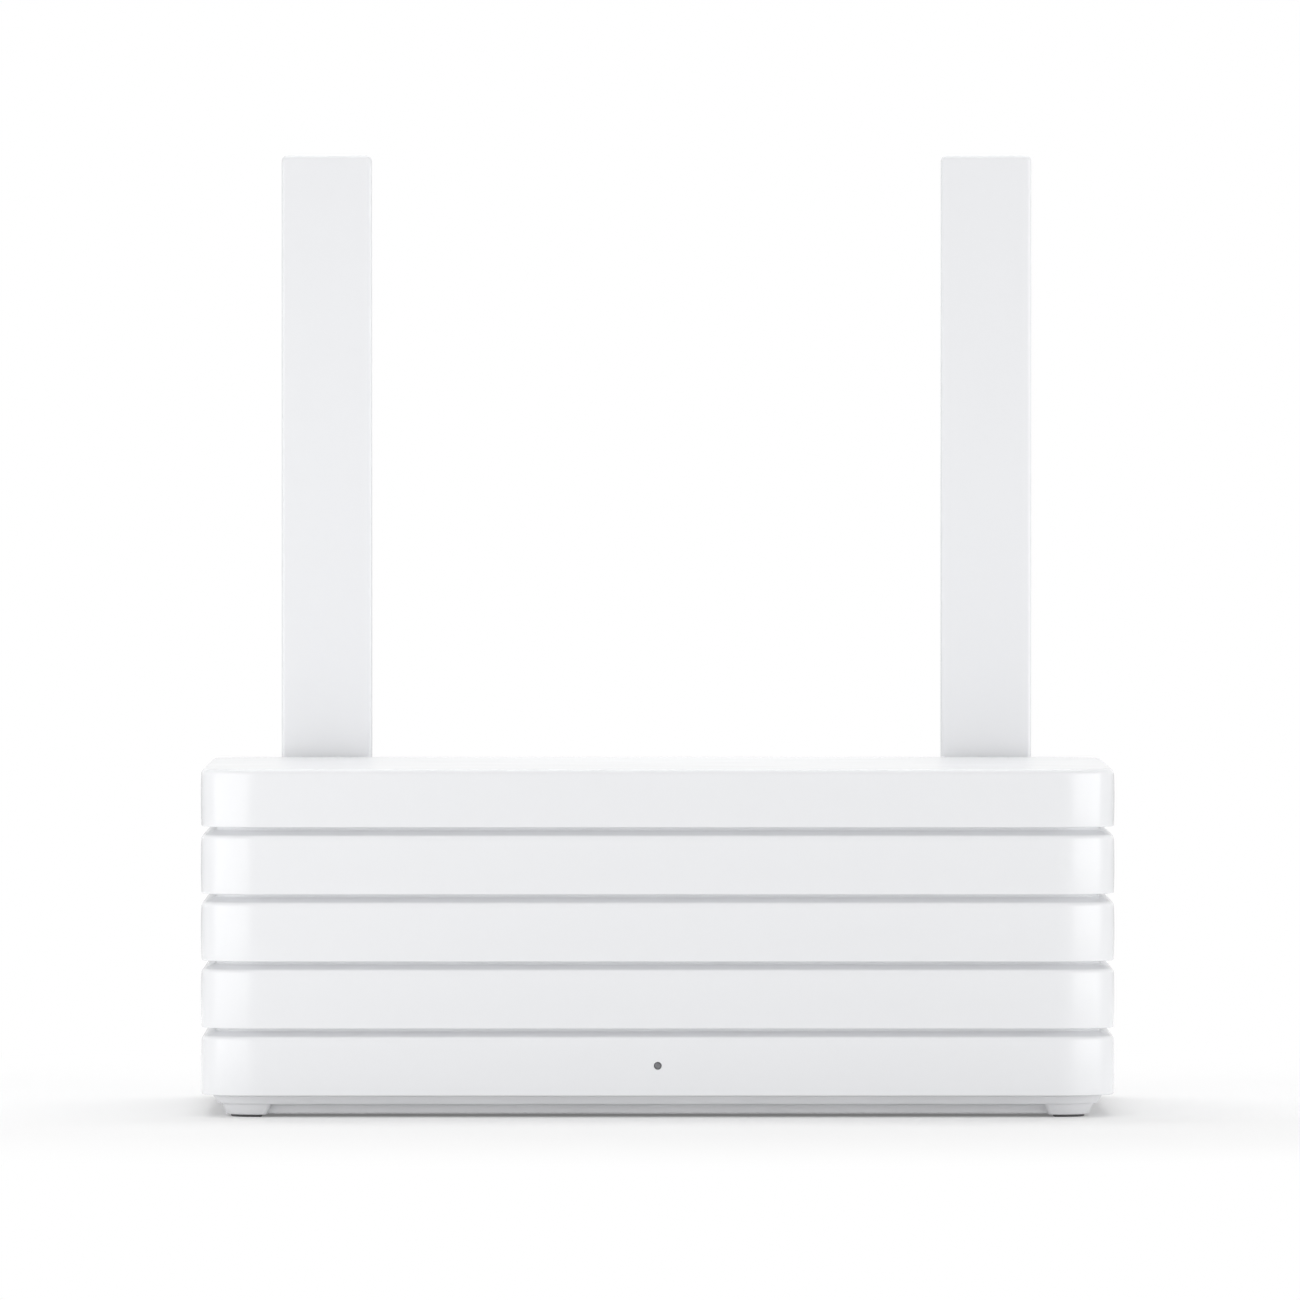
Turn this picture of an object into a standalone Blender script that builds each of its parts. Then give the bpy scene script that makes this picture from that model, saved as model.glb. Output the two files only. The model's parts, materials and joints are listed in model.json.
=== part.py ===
"""Desktop wireless router: ribbed body, two folding blade antennas, network sockets, storage drive and fan.

Metres, +Z up. X runs across the body, the front faces -Y, and the origin is on the floor under the middle of
the whole object's box.
"""

import math
from dataclasses import dataclass

import bmesh
import bpy
from mathutils import Vector

MM = 0.001
GAP = 0.3 * MM

# Body
BODY_WIDTH = 200 * MM
BODY_DEPTH = 140 * MM
CORNER_RADIUS = 13 * MM
BODY_BOTTOM = 4.8 * MM
BAND_COUNT = 5
BAND_PITCH = 14.66 * MM
GROOVE_HEIGHT = 1.95 * MM
GROOVE_DEPTH = 2.5 * MM
RAMP_RISE = 1.3 * MM
BAND_LIP = 0.35 * MM
TOP_FILLET = 1.2 * MM
SHELL_WALL = 4.2 * MM
TOP_WALL = 2.4 * MM
BODY_TOP = BODY_BOTTOM + BAND_COUNT * BAND_PITCH - GROOVE_HEIGHT

# Antennas
ANTENNA_X = 74.2 * MM
ANTENNA_TOP = 211.5 * MM
BLADE_WIDTH = 20.3 * MM
BLADE_THICKNESS = 7 * MM
BLADE_EDGE = 0.9 * MM
BLADE_WALL = 1.4 * MM
AXIS_Z = 24 * MM
AXIS_BEHIND_BODY = 4.5 * MM
KNUCKLE_HALF = 4 * MM
KNUCKLE_RADIUS = BLADE_THICKNESS / 2
BLADE_START = AXIS_Z + 4.6 * MM
PIN_RADIUS = 2 * MM
PIN_HOLE = 1 * MM
PIN_BORE = PIN_RADIUS + GAP
LEAD_RADIUS = 0.5 * MM
LEAD_BEND = 1.8 * MM
LEAD_CHANNEL = 8.2 * MM

# Depth stations
FRONT_Y = -(BODY_DEPTH + AXIS_BEHIND_BODY + BLADE_THICKNESS / 2) / 2
REAR_Y = FRONT_Y + BODY_DEPTH
MIDDLE_Y = (FRONT_Y + REAR_Y) / 2
AXIS_Y = REAR_Y + AXIS_BEHIND_BODY

# Base tray and feet
PAD_HEIGHT = 0.9 * MM
FOOT_BOTTOM = 0.5 * MM
PAN_BOTTOM = 0.9 * MM
TRAY_FLOOR = 3.2 * MM
SKIRT_LOW = 2.9 * MM
SKIRT_HIGH = BODY_BOTTOM - GAP
SKIRT_INSET_HIGH = 2.6 * MM
SKIRT_INSET_LOW = 4.6 * MM
PAN_INSET = 7 * MM
RIM_TOP = 6.6 * MM
RIM_WALL = 1.6 * MM
PAD_INSET = 2 * MM
FOOT_INNER_X = 84.5 * MM
FOOT_INNER_Y = 52 * MM
SCREW_POST_X = 80 * MM
SCREW_POST_FRONT = 14 * MM
SCREW_POST_REAR = 24 * MM

# Rear panel
APERTURE_HALF_X = 86 * MM
APERTURE_LOW = 8.5 * MM
APERTURE_HIGH = 69.5 * MM
APERTURE_RADIUS = 4 * MM
PANEL_FACE_Y = REAR_Y - 1 * MM
PANEL_PLATE = 2.4 * MM
PANEL_LIP = 1.4 * MM
PANEL_POCKET = 2.2 * MM
FLANGE_BACK_Y = REAR_Y - SHELL_WALL - GAP
FLANGE_FRONT_Y = FLANGE_BACK_Y - 1.2 * MM
PLATE_INNER_Y = PANEL_FACE_Y - PANEL_PLATE
SPIGOT_RADIUS = 1.5 * MM
CLIP = 1.5 * MM

# Main board and sockets
BOARD_LOW = 9.9 * MM
BOARD_THICKNESS = 1.6 * MM
BOARD_TOP = BOARD_LOW + BOARD_THICKNESS
PARTS_LOW = BOARD_TOP + GAP
BOARD_HALF_X = 68 * MM
BOARD_FRONT_Y = FRONT_Y + 26 * MM
BOARD_REAR_Y = FLANGE_FRONT_Y - 0.4 * MM
STANDOFF_X = 62 * MM
STANDOFF_FRONT_Y = BOARD_FRONT_Y + 6 * MM
STANDOFF_REAR_Y = BOARD_REAR_Y - 30 * MM
SOCKET_FACE_Y = REAR_Y - 0.7 * MM
JACK_WIDTH = 16 * MM
JACK_HEIGHT = 13.5 * MM
JACK_DEPTH = 21.3 * MM
JACK_MOUTH_WIDTH = 11.8 * MM
JACK_MOUTH_HEIGHT = 8.1 * MM
JACK_MOUTH_LOW = PARTS_LOW + 3 * MM
JACK_MOUTH_DEPTH = 14 * MM
JACK_CENTRES = {"wan_jack": -9 * MM, "lan_jack_1": 10.5 * MM, "lan_jack_2": 30 * MM}
USB_X = -31 * MM
USB_WIDTH = 13.2 * MM
USB_HEIGHT = 6.2 * MM
USB_DEPTH = 14.8 * MM
USB_WALL = 0.5 * MM
POWER_X = -50 * MM
POWER_WIDTH = 9.4 * MM
POWER_HEIGHT = 11 * MM
POWER_DEPTH = 14 * MM
POWER_AXIS_Z = PARTS_LOW + 6 * MM
POWER_BORE = 3.2 * MM
BUTTON_X = 50 * MM
BUTTON_Z = 18 * MM
BUTTON_RADIUS = 2 * MM
LIGHT_Z = 11.4 * MM
LIGHT_RADIUS = 0.55 * MM

# Storage drive, its bracket and the fan
DRIVE_LENGTH = 147 * MM
DRIVE_WIDTH = 101.6 * MM
DRIVE_HEIGHT = 26.1 * MM
DRIVE_FRONT_Y = FRONT_Y + 12 * MM
BRACKET_SHEET = 1.2 * MM
BRACKET_TOP = 29.6 * MM
BRACKET_HALF_X = 82 * MM
BRACKET_FOOT = 5.5 * MM
DRIVE_LOW = BRACKET_TOP + GAP
DRIVE_COVER = 1.2 * MM
LEAD_DROP_X = 77.5 * MM
HEADER_X = 63 * MM
FAN_SIZE = 40 * MM
FAN_DEPTH = 10 * MM
FAN_Z = 46 * MM
FAN_BACK_Y = PLATE_INNER_Y - GAP
FAN_FRONT_Y = FAN_BACK_Y - FAN_DEPTH
FAN_RING = 18.8 * MM
HUB_RADIUS = 9.5 * MM
BLADE_REACH = 18.1 * MM

SIDES = {"left": -1, "right": 1}


@dataclass(frozen=True)
class Shape:
    """Points and faces of one or more closed bodies."""

    points: tuple
    faces: tuple


# Outlines: lists of (u, v) points


def arc(u, v, radius, start, end, steps):
    """Points on an arc from one angle to another, in degrees."""
    angles = [math.radians(start + (end - start) * i / steps) for i in range(steps + 1)]
    return [(u + radius * math.cos(a), v + radius * math.sin(a)) for a in angles]


def circle(u, v, radius, steps=24):
    return arc(u, v, radius, 0, 360, steps)[:-1]


def rectangle(low_u, high_u, low_v, high_v):
    return [(low_u, low_v), (high_u, low_v), (high_u, high_v), (low_u, high_v)]


def rounded(low_u, high_u, low_v, high_v, radius, steps=6):
    """A rectangle with its four corners rounded, anticlockwise from the right side."""
    corners = (
        (high_u - radius, high_v - radius, 0),
        (low_u + radius, high_v - radius, 90),
        (low_u + radius, low_v + radius, 180),
        (high_u - radius, low_v + radius, 270),
    )
    points = []
    for u, v, start in corners:
        points += arc(u, v, radius, start, start + 90, steps)
    return points


def body_outline(inset, steps=5):
    """The body's plan, drawn in by this much all round."""
    return rounded(
        inset - BODY_WIDTH / 2,
        BODY_WIDTH / 2 - inset,
        FRONT_Y + inset,
        REAR_Y - inset,
        CORNER_RADIUS - inset,
        steps,
    )


# Shapes


def place(axis, u, v, height):
    """An outline's point, at a height along the axis, as a point in space."""
    if axis == "X":
        return (height, u, v)
    if axis == "Y":
        return (u, height, v)
    return (u, v, height)


def loft(axis, rings):
    """One closed body through outlines of equal length, each given with its height along the axis."""
    count = len(rings[0][0])
    points = []
    for outline, height in rings:
        points += [place(axis, u, v, height) for u, v in outline]
    faces = [tuple(range(count))]
    for start in range(0, (len(rings) - 1) * count, count):
        for i in range(count):
            j = (i + 1) % count
            faces.append((start + i, start + j, start + count + j, start + count + i))
    faces.append(tuple(range(len(points) - count, len(points))))
    return Shape(tuple(points), tuple(faces))


def prism(axis, outline, low, high):
    return loft(axis, [(outline, low), (outline, high)])


def block(low, high):
    """A plain box between two corners."""
    return prism("Z", rectangle(low[0], high[0], low[1], high[1]), low[2], high[2])


def rod(axis, u, v, radius, low, high, steps=24):
    return prism(axis, circle(u, v, radius, steps), low, high)


def joined(shapes):
    """Several shapes that stay clear of each other, as one."""
    points = []
    faces = []
    for shape in shapes:
        faces += [tuple(len(points) + i for i in face) for face in shape.faces]
        points += shape.points
    return Shape(tuple(points), tuple(faces))


# Objects


def clear_scene():
    for found in list(bpy.data.objects):
        bpy.data.objects.remove(found, do_unlink=True)


def finish(name, color, roughness, metallic=0.0):
    """The named material, made on first use."""
    made = bpy.data.materials.get(name)
    if made:
        return made
    made = bpy.data.materials.new(name)
    made.use_nodes = True
    shader = made.node_tree.nodes["Principled BSDF"]
    shader.inputs["Base Color"].default_value = (*color, 1)
    shader.inputs["Roughness"].default_value = roughness
    shader.inputs["Metallic"].default_value = metallic
    return made


def gloss_white():
    return finish("gloss_white", (0.86, 0.865, 0.88), 0.22)


def satin_white():
    return finish("satin_white", (0.8, 0.81, 0.82), 0.42)


def pad_rubber():
    return finish("pad_rubber", (0.45, 0.46, 0.47), 0.8)


def socket_plastic():
    return finish("socket_plastic", (0.06, 0.06, 0.065), 0.45)


def socket_blue():
    return finish("socket_blue", (0.03, 0.16, 0.5), 0.45)


def steel():
    return finish("steel", (0.58, 0.59, 0.6), 0.32, 1.0)


def cast_aluminium():
    return finish("cast_aluminium", (0.6, 0.61, 0.63), 0.45, 1.0)


def board_green():
    return finish("board_green", (0.02, 0.12, 0.05), 0.4)


def chip_black():
    return finish("chip_black", (0.03, 0.03, 0.032), 0.5)


def lead_black():
    return finish("lead_black", (0.04, 0.04, 0.042), 0.5)


def pad_pink():
    return finish("pad_pink", (0.6, 0.35, 0.4), 0.9)


def light_smoke():
    return finish("light_smoke", (0.12, 0.12, 0.13), 0.3)


def lamp_yellow():
    return finish("lamp_yellow", (0.8, 0.7, 0.3), 0.4)


def new_object(name, shape, origin=(0, 0, 0)):
    """A mesh object whose faces point out, with its own origin."""
    mesh = bpy.data.meshes.new(name)
    start = Vector(origin)
    mesh.from_pydata([Vector(point) - start for point in shape.points], [], shape.faces)
    edited = bmesh.new()
    edited.from_mesh(mesh)
    bmesh.ops.recalc_face_normals(edited, faces=edited.faces)
    edited.to_mesh(mesh)
    edited.free()
    made = bpy.data.objects.new(name, mesh)
    made.location = start
    bpy.context.scene.collection.objects.link(made)
    return made


def part(name, material, shape, body, smooth_angle=0):
    """A named piece of the object, on one of the bodies that its empties stand for."""
    pivot = bpy.data.objects[body]
    made = new_object(name, shape, pivot.location)
    made.data.materials.append(material)
    if smooth_angle:
        made.data.shade_smooth()
        made.data.set_sharp_from_angle(angle=math.radians(smooth_angle))
    made.parent = pivot
    made.location = (0, 0, 0)
    return made


def combine(target, operation, shapes):
    """Adds a Boolean with a hidden tool made of shapes that stay clear of each other."""
    tool = new_object(f"{target.name}_{operation.lower()}_{len(target.modifiers)}", joined(shapes))
    tool.hide_render = True
    tool.display_type = "WIRE"
    modifier = target.modifiers.new(tool.name, "BOOLEAN")
    modifier.operation = operation
    modifier.solver = "EXACT"
    modifier.object = tool


def add(target, *shapes):
    combine(target, "UNION", shapes)


def cut(target, *shapes):
    combine(target, "DIFFERENCE", shapes)


def body_pivot(name, place_at):
    pivot = bpy.data.objects.new(name, None)
    pivot.empty_display_size = 10 * MM
    pivot.location = place_at
    bpy.context.scene.collection.objects.link(pivot)


def make_pivots():
    """One empty for each body, standing on its joint's axis."""
    body_pivot("housing", (0, 0, 0))
    body_pivot("fan", (0, (FAN_FRONT_Y + FAN_BACK_Y) / 2, FAN_Z))
    body_pivot("reset", (BUTTON_X, PANEL_FACE_Y, BUTTON_Z))
    for side, sign in SIDES.items():
        body_pivot(f"{side}_antenna", (sign * ANTENNA_X, AXIS_Y, AXIS_Z))


# Case


def band_rings():
    """The shell's outer profile from its lower edge to its top face, as (inset, height)."""
    profile = []
    for band in range(BAND_COUNT):
        low = BODY_BOTTOM + band * BAND_PITCH
        high = low + BAND_PITCH - GROOVE_HEIGHT
        profile += [(BAND_LIP, low), (0, low + BAND_LIP)]
        if band < BAND_COUNT - 1:
            next_low = low + BAND_PITCH
            profile += [(0, high - BAND_LIP), (BAND_LIP, high), (GROOVE_DEPTH, high + RAMP_RISE)]
            profile += [(GROOVE_DEPTH, next_low)]
    for height, inset in arc(0, TOP_FILLET, TOP_FILLET, 0, 90, 3):
        profile.append((TOP_FILLET - height, BODY_TOP - 2 * TOP_FILLET + inset))
    return profile


def screw_posts():
    """The four places where the case screws go up through the tray into the shell."""
    for x in (-SCREW_POST_X, SCREW_POST_X):
        for y in (FRONT_Y + SCREW_POST_FRONT, REAR_Y - SCREW_POST_REAR):
            yield x, y


def make_ribbed_shell():
    inner = [(SHELL_WALL, BODY_TOP - TOP_WALL), (SHELL_WALL, BODY_BOTTOM)]
    rings = [(body_outline(inset), z) for inset, z in inner + band_rings()]
    shell = part("ribbed_shell", gloss_white(), loft("Z", rings), "housing", 30)
    post_radius = 3.5 * MM
    post_low = RIM_TOP + GAP
    posts = [rod("Z", x, y, post_radius, post_low, BODY_TOP - TOP_WALL / 2, 12) for x, y in screw_posts()]
    add(shell, *posts)
    pilot_radius = 1.6 * MM
    pilots = [rod("Z", x, y, pilot_radius, 0, 20 * MM, 10) for x, y in screw_posts()]
    aperture = rounded(-APERTURE_HALF_X, APERTURE_HALF_X, APERTURE_LOW, APERTURE_HIGH, APERTURE_RADIUS, 4)
    window = prism("Y", aperture, REAR_Y - SHELL_WALL - MM, REAR_Y + MM)
    light_hole = rod("Y", 0, LIGHT_Z, LIGHT_RADIUS + GAP, FRONT_Y - MM, FRONT_Y + SHELL_WALL + MM, 16)
    cut(shell, window, light_hole, *pilots)


def foot_outline(sign_x, sign_y, inset):
    """One corner's foot, which follows the body's rounded corner, drawn in by this much."""
    reach_x = BODY_WIDTH / 2 - SKIRT_INSET_LOW - inset
    reach_y = BODY_DEPTH / 2 - SKIRT_INSET_LOW - inset
    radius = CORNER_RADIUS - SKIRT_INSET_LOW - inset
    inner_x = FOOT_INNER_X + inset
    inner_y = FOOT_INNER_Y + inset
    points = [(inner_x, inner_y), (reach_x, inner_y)]
    points += arc(reach_x - radius, reach_y - radius, radius, 0, 90, 4)
    points += [(inner_x, reach_y)]
    return [(sign_x * x, MIDDLE_Y + sign_y * y) for x, y in points]


def corners():
    """Each corner's name with the signs of its X and of its Y from the body's middle."""
    for side, sign_x in SIDES.items():
        yield f"front_{side}", sign_x, -1
        yield f"rear_{side}", sign_x, 1


def make_base_tray():
    profile = (
        (PAN_INSET + 0.6 * MM, PAN_BOTTOM),
        (PAN_INSET, PAN_BOTTOM + 0.6 * MM),
        (PAN_INSET, SKIRT_LOW),
        (SKIRT_INSET_LOW, SKIRT_LOW),
        (SKIRT_INSET_HIGH, SKIRT_HIGH),
        (SHELL_WALL + 2 * GAP, SKIRT_HIGH),
        (SHELL_WALL + 2 * GAP, RIM_TOP),
        (SHELL_WALL + 2 * GAP + RIM_WALL, RIM_TOP),
        (SHELL_WALL + 2 * GAP + RIM_WALL, SKIRT_HIGH),
        (PAN_INSET + RIM_WALL, TRAY_FLOOR),
    )
    rings = [(body_outline(inset), z) for inset, z in profile]
    tray = part("base_tray", satin_white(), loft("Z", rings), "housing", 30)
    foot_top = SKIRT_LOW + 0.8 * MM
    foot_taper = 0.8 * MM
    feet = []
    pad_wells = []
    for _, sign_x, sign_y in corners():
        lower = foot_outline(sign_x, sign_y, foot_taper)
        upper = foot_outline(sign_x, sign_y, 0)
        feet.append(loft("Z", [(lower, FOOT_BOTTOM), (upper, SKIRT_LOW - GAP), (upper, foot_top)]))
        well = foot_outline(sign_x, sign_y, PAD_INSET - GAP)
        pad_wells.append(prism("Z", well, 0, PAD_HEIGHT + GAP))
    add(tray, *feet)
    cut(tray, *pad_wells)
    boss_low = TRAY_FLOOR - MM
    bosses = [rod("Z", x, y, 4.4 * MM, boss_low, RIM_TOP - GAP, 14) for x, y in screw_posts()]
    standoffs = [rod("Z", x, y, 3 * MM, boss_low, BOARD_LOW - GAP, 12) for x, y in board_screw_places()]
    rest_y = FRONT_Y + 16 * MM
    light_rest = block((-3 * MM, rest_y, boss_low), (3 * MM, rest_y + 2 * MM, LIGHT_Z - 1.5 * MM - GAP))
    add(tray, light_rest, *bosses, *standoffs)
    wells = [rod("Z", x, y, 3 * MM, 0, 3 * MM, 14) for x, y in screw_posts()]
    pilots = [rod("Z", x, y, 0.95 * MM, TRAY_FLOOR + MM, BOARD_TOP, 8) for x, y in board_screw_places()]
    cut(tray, *wells, *pilots)
    shafts = [rod("Z", x, y, 1.6 * MM, 2 * MM, 2 * RIM_TOP, 12) for x, y in screw_posts()]
    cut(tray, *shafts, *tray_vents())


def tray_vents():
    """Two groups of slots through the tray's floor."""
    slots = []
    for sign in SIDES.values():
        for row in range(6):
            x = sign * (12 + 7 * row) * MM
            outline = rounded(x - MM, x + MM, MIDDLE_Y - 8 * MM, MIDDLE_Y + 30 * MM, 0.9 * MM, 1)
            slots.append(prism("Z", outline, 0, 2 * TRAY_FLOOR))
    return slots


def make_foot_pads():
    for corner, sign_x, sign_y in corners():
        top = foot_outline(sign_x, sign_y, PAD_INSET)
        bottom = foot_outline(sign_x, sign_y, PAD_INSET + 0.3 * MM)
        pad = loft("Z", [(bottom, 0), (top, 0.3 * MM), (top, PAD_HEIGHT)])
        part(f"foot_pad_{corner}", pad_rubber(), pad, "housing", 30)


def make_case_screws():
    for number, (x, y) in enumerate(screw_posts(), 1):
        screw(f"case_screw_{number}", x, y, 2.7 * MM, 1, 2.5 * MM, 1.3 * MM, 12.3 * MM)


def screw(name, x, y, seat, direction, head_radius, shank_radius, length):
    """A pan-head screw on Z: its head sits below the seat where direction is 1, and above it where -1."""
    head_height = 0.5 * head_radius
    top = seat - direction * head_height
    slot_bottom = seat - direction * 0.5 * head_height
    steps = (
        (0.8 * head_radius, top),
        (head_radius, slot_bottom),
        (head_radius, seat),
        (shank_radius, seat),
        (shank_radius, seat + direction * (length - shank_radius)),
        (0.35 * shank_radius, seat + direction * length),
    )
    rings = [(circle(x, y, radius, 10), z) for radius, z in steps]
    made = part(name, steel(), loft("Z", rings), "housing", 30)
    half = 0.2 * head_radius
    reach = 0.6 * head_radius
    low, high = sorted((top - direction * MM, slot_bottom))
    cut(made, prism("Z", cross_outline(x, y, half, reach), low, high))


def cross_outline(u, v, half, reach):
    """A plus sign with arms of this half width and reach."""
    quarter = [(reach, -half), (reach, half), (half, half)]
    points = []
    for turn in range(4):
        cosine = (1, 0, -1, 0)[turn]
        sine = (0, 1, 0, -1)[turn]
        points += [(u + a * cosine - b * sine, v + a * sine + b * cosine) for a, b in quarter]
    return points


# Rear panel


def socket_windows():
    """The openings through which the sockets show, with a little room round each."""
    room = GAP
    windows = []
    for x in JACK_CENTRES.values():
        half = JACK_WIDTH / 2 + room
        windows.append(rectangle(x - half, x + half, PARTS_LOW - room, PARTS_LOW + JACK_HEIGHT + room))
    half = USB_WIDTH / 2 + room
    windows.append(rectangle(USB_X - half, USB_X + half, PARTS_LOW - room, PARTS_LOW + USB_HEIGHT + room))
    half = POWER_WIDTH / 2 + room
    windows.append(rectangle(POWER_X - half, POWER_X + half, PARTS_LOW - room, PARTS_LOW + POWER_HEIGHT + room))
    windows.append(circle(BUTTON_X, BUTTON_Z, BUTTON_RADIUS + GAP, 16))
    for sign in SIDES.values():
        windows.append(circle(sign * (ANTENNA_X + LEAD_CHANNEL), AXIS_Z, SPIGOT_RADIUS + GAP, 12))
    return windows


def vent_slots():
    """Upright slots in three groups: over the fan and at each side of it."""
    groups = ((0, 4, 28, 64), (-41, 3, 34, 62), (41, 3, 34, 62))
    slots = []
    for centre, reach, low, high in groups:
        for step in range(-reach, reach + 1):
            x = (centre + 4 * step) * MM
            slots.append(rounded(x - MM, x + MM, low * MM, high * MM, 0.9 * MM, 1))
    return slots


def fan_clips():
    """The two ribs that hold the fan's frame between them."""
    clips = []
    for sign in SIDES.values():
        near = sign * (FAN_SIZE / 2 + GAP)
        low_x, high_x = sorted((near, near + sign * CLIP))
        low = (low_x, FAN_FRONT_Y, FAN_Z - 12 * MM)
        high = (high_x, PLATE_INNER_Y + PANEL_PLATE / 4, FAN_Z + 12 * MM)
        clips.append(block(low, high))
    return clips


def make_rear_panel():
    half_x = APERTURE_HALF_X - GAP
    low = APERTURE_LOW + GAP
    high = APERTURE_HIGH - GAP

    def ring(grow, y):
        outline = rounded(-half_x - grow, half_x + grow, low - grow, high + grow, APERTURE_RADIUS - GAP + grow, 4)
        return outline, y

    rings = [
        ring(-0.4 * MM, PANEL_FACE_Y),
        ring(0, PANEL_FACE_Y - 0.4 * MM),
        ring(0, FLANGE_BACK_Y),
        ring(PANEL_LIP, FLANGE_BACK_Y),
        ring(PANEL_LIP, FLANGE_FRONT_Y),
        ring(-PANEL_POCKET, FLANGE_FRONT_Y),
        ring(-PANEL_POCKET, PLATE_INNER_Y),
    ]
    panel = part("rear_panel", satin_white(), loft("Y", rings), "housing", 30)
    add(panel, *fan_clips())
    openings = socket_windows() + vent_slots()
    cut(panel, *[prism("Y", outline, PLATE_INNER_Y - MM, PANEL_FACE_Y + MM) for outline in openings])


# Main board


def board_screw_places():
    for x in (-STANDOFF_X, STANDOFF_X):
        for y in (STANDOFF_FRONT_Y, STANDOFF_REAR_Y):
            yield x, y


def make_main_board():
    outline = rounded(-BOARD_HALF_X, BOARD_HALF_X, BOARD_FRONT_Y, BOARD_REAR_Y, 2 * MM, 3)
    board = part("main_board", board_green(), prism("Z", outline, BOARD_LOW, BOARD_TOP), "housing")
    holes = [rod("Z", x, y, 1.4 * MM, 0, 2 * BOARD_TOP, 16) for x, y in board_screw_places()]
    cut(board, *holes)
    for number, (x, y) in enumerate(board_screw_places(), 1):
        screw(f"board_screw_{number}", x, y, PARTS_LOW, -1, 2 * MM, 0.64 * MM, 6.5 * MM)


def make_network_jacks():
    for name, x in JACK_CENTRES.items():
        color = socket_blue() if name == "wan_jack" else socket_plastic()
        low = (x - JACK_WIDTH / 2, SOCKET_FACE_Y - JACK_DEPTH, PARTS_LOW)
        high = (x + JACK_WIDTH / 2, SOCKET_FACE_Y, PARTS_LOW + JACK_HEIGHT)
        jack = part(name, color, block(low, high), "housing")
        mouth = JACK_MOUTH_WIDTH / 2
        notch = 3.1 * MM
        tab = 1.7 * MM
        z = JACK_MOUTH_LOW
        top = z + JACK_MOUTH_HEIGHT
        outline = [(x - mouth, z), (x + mouth, z), (x + mouth, top), (x + notch, top)]
        outline += [(x + notch, top + 1.2 * MM), (x + tab, top + 1.2 * MM), (x + tab, top + 2 * MM)]
        outline += [(x - tab, top + 2 * MM), (x - tab, top + 1.2 * MM), (x - notch, top + 1.2 * MM)]
        outline += [(x - notch, top), (x - mouth, top)]
        cut(jack, prism("Y", outline, SOCKET_FACE_Y - JACK_MOUTH_DEPTH, SOCKET_FACE_Y + MM))


def make_usb_socket():
    low = (USB_X - USB_WIDTH / 2, SOCKET_FACE_Y - USB_DEPTH, PARTS_LOW)
    high = (USB_X + USB_WIDTH / 2, SOCKET_FACE_Y, PARTS_LOW + USB_HEIGHT)
    socket = part("usb_socket", steel(), block(low, high), "housing")
    half = USB_WIDTH / 2 - USB_WALL
    back = SOCKET_FACE_Y - USB_DEPTH + 2 * MM
    inside_low = (USB_X - half, back, PARTS_LOW + USB_WALL)
    inside_high = (USB_X + half, SOCKET_FACE_Y + MM, PARTS_LOW + USB_HEIGHT - USB_WALL)
    cut(socket, block(inside_low, inside_high))
    tongue_half = USB_WIDTH / 2 - 1.1 * MM
    tongue_low = (USB_X - tongue_half, back + GAP, PARTS_LOW + USB_HEIGHT - 3.2 * MM)
    tongue_high = (USB_X + tongue_half, SOCKET_FACE_Y - 2.2 * MM, PARTS_LOW + USB_HEIGHT - 1.3 * MM)
    part("usb_tongue", socket_blue(), block(tongue_low, tongue_high), "housing")


def make_power_jack():
    low = (POWER_X - POWER_WIDTH / 2, SOCKET_FACE_Y - POWER_DEPTH, PARTS_LOW)
    high = (POWER_X + POWER_WIDTH / 2, SOCKET_FACE_Y, PARTS_LOW + POWER_HEIGHT)
    jack = part("power_jack", socket_plastic(), block(low, high), "housing")
    bottom = SOCKET_FACE_Y - 10 * MM
    cut(jack, rod("Y", POWER_X, POWER_AXIS_Z, POWER_BORE, bottom, SOCKET_FACE_Y + MM, 24))
    pin = rod("Y", POWER_X, POWER_AXIS_Z, MM, bottom + GAP, SOCKET_FACE_Y - MM, 12)
    part("power_jack_pin", steel(), pin, "housing", 40)


def make_reset_button():
    """A capped button behind the panel that presses the switch on the board."""
    cap_end = PANEL_FACE_Y + 0.6 * MM
    flange_back = PLATE_INNER_Y - GAP
    flange_front = flange_back - 1.2 * MM
    stem_end = flange_front - 4 * MM
    steps = (
        (BUTTON_RADIUS - 0.4 * MM, cap_end),
        (BUTTON_RADIUS, cap_end - 0.3 * MM),
        (BUTTON_RADIUS, flange_back),
        (2.9 * MM, flange_back),
        (2.9 * MM, flange_front),
        (1.2 * MM, flange_front),
        (1.2 * MM, stem_end),
    )
    rings = [(circle(BUTTON_X, BUTTON_Z, radius, 20), y) for radius, y in steps]
    part("reset_button", satin_white(), loft("Y", rings), "reset", 30)
    travel_room = 0.9 * MM
    switch_back = stem_end - travel_room
    half = 3 * MM
    low = (BUTTON_X - half, switch_back - 3.5 * MM, PARTS_LOW)
    high = (BUTTON_X + half, switch_back - 0.6 * MM, BUTTON_Z + half)
    switch = part("reset_switch", chip_black(), block(low, high), "housing")
    add(switch, rod("Y", BUTTON_X, BUTTON_Z, 1.5 * MM, switch_back - 2 * MM, switch_back, 16))


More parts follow.
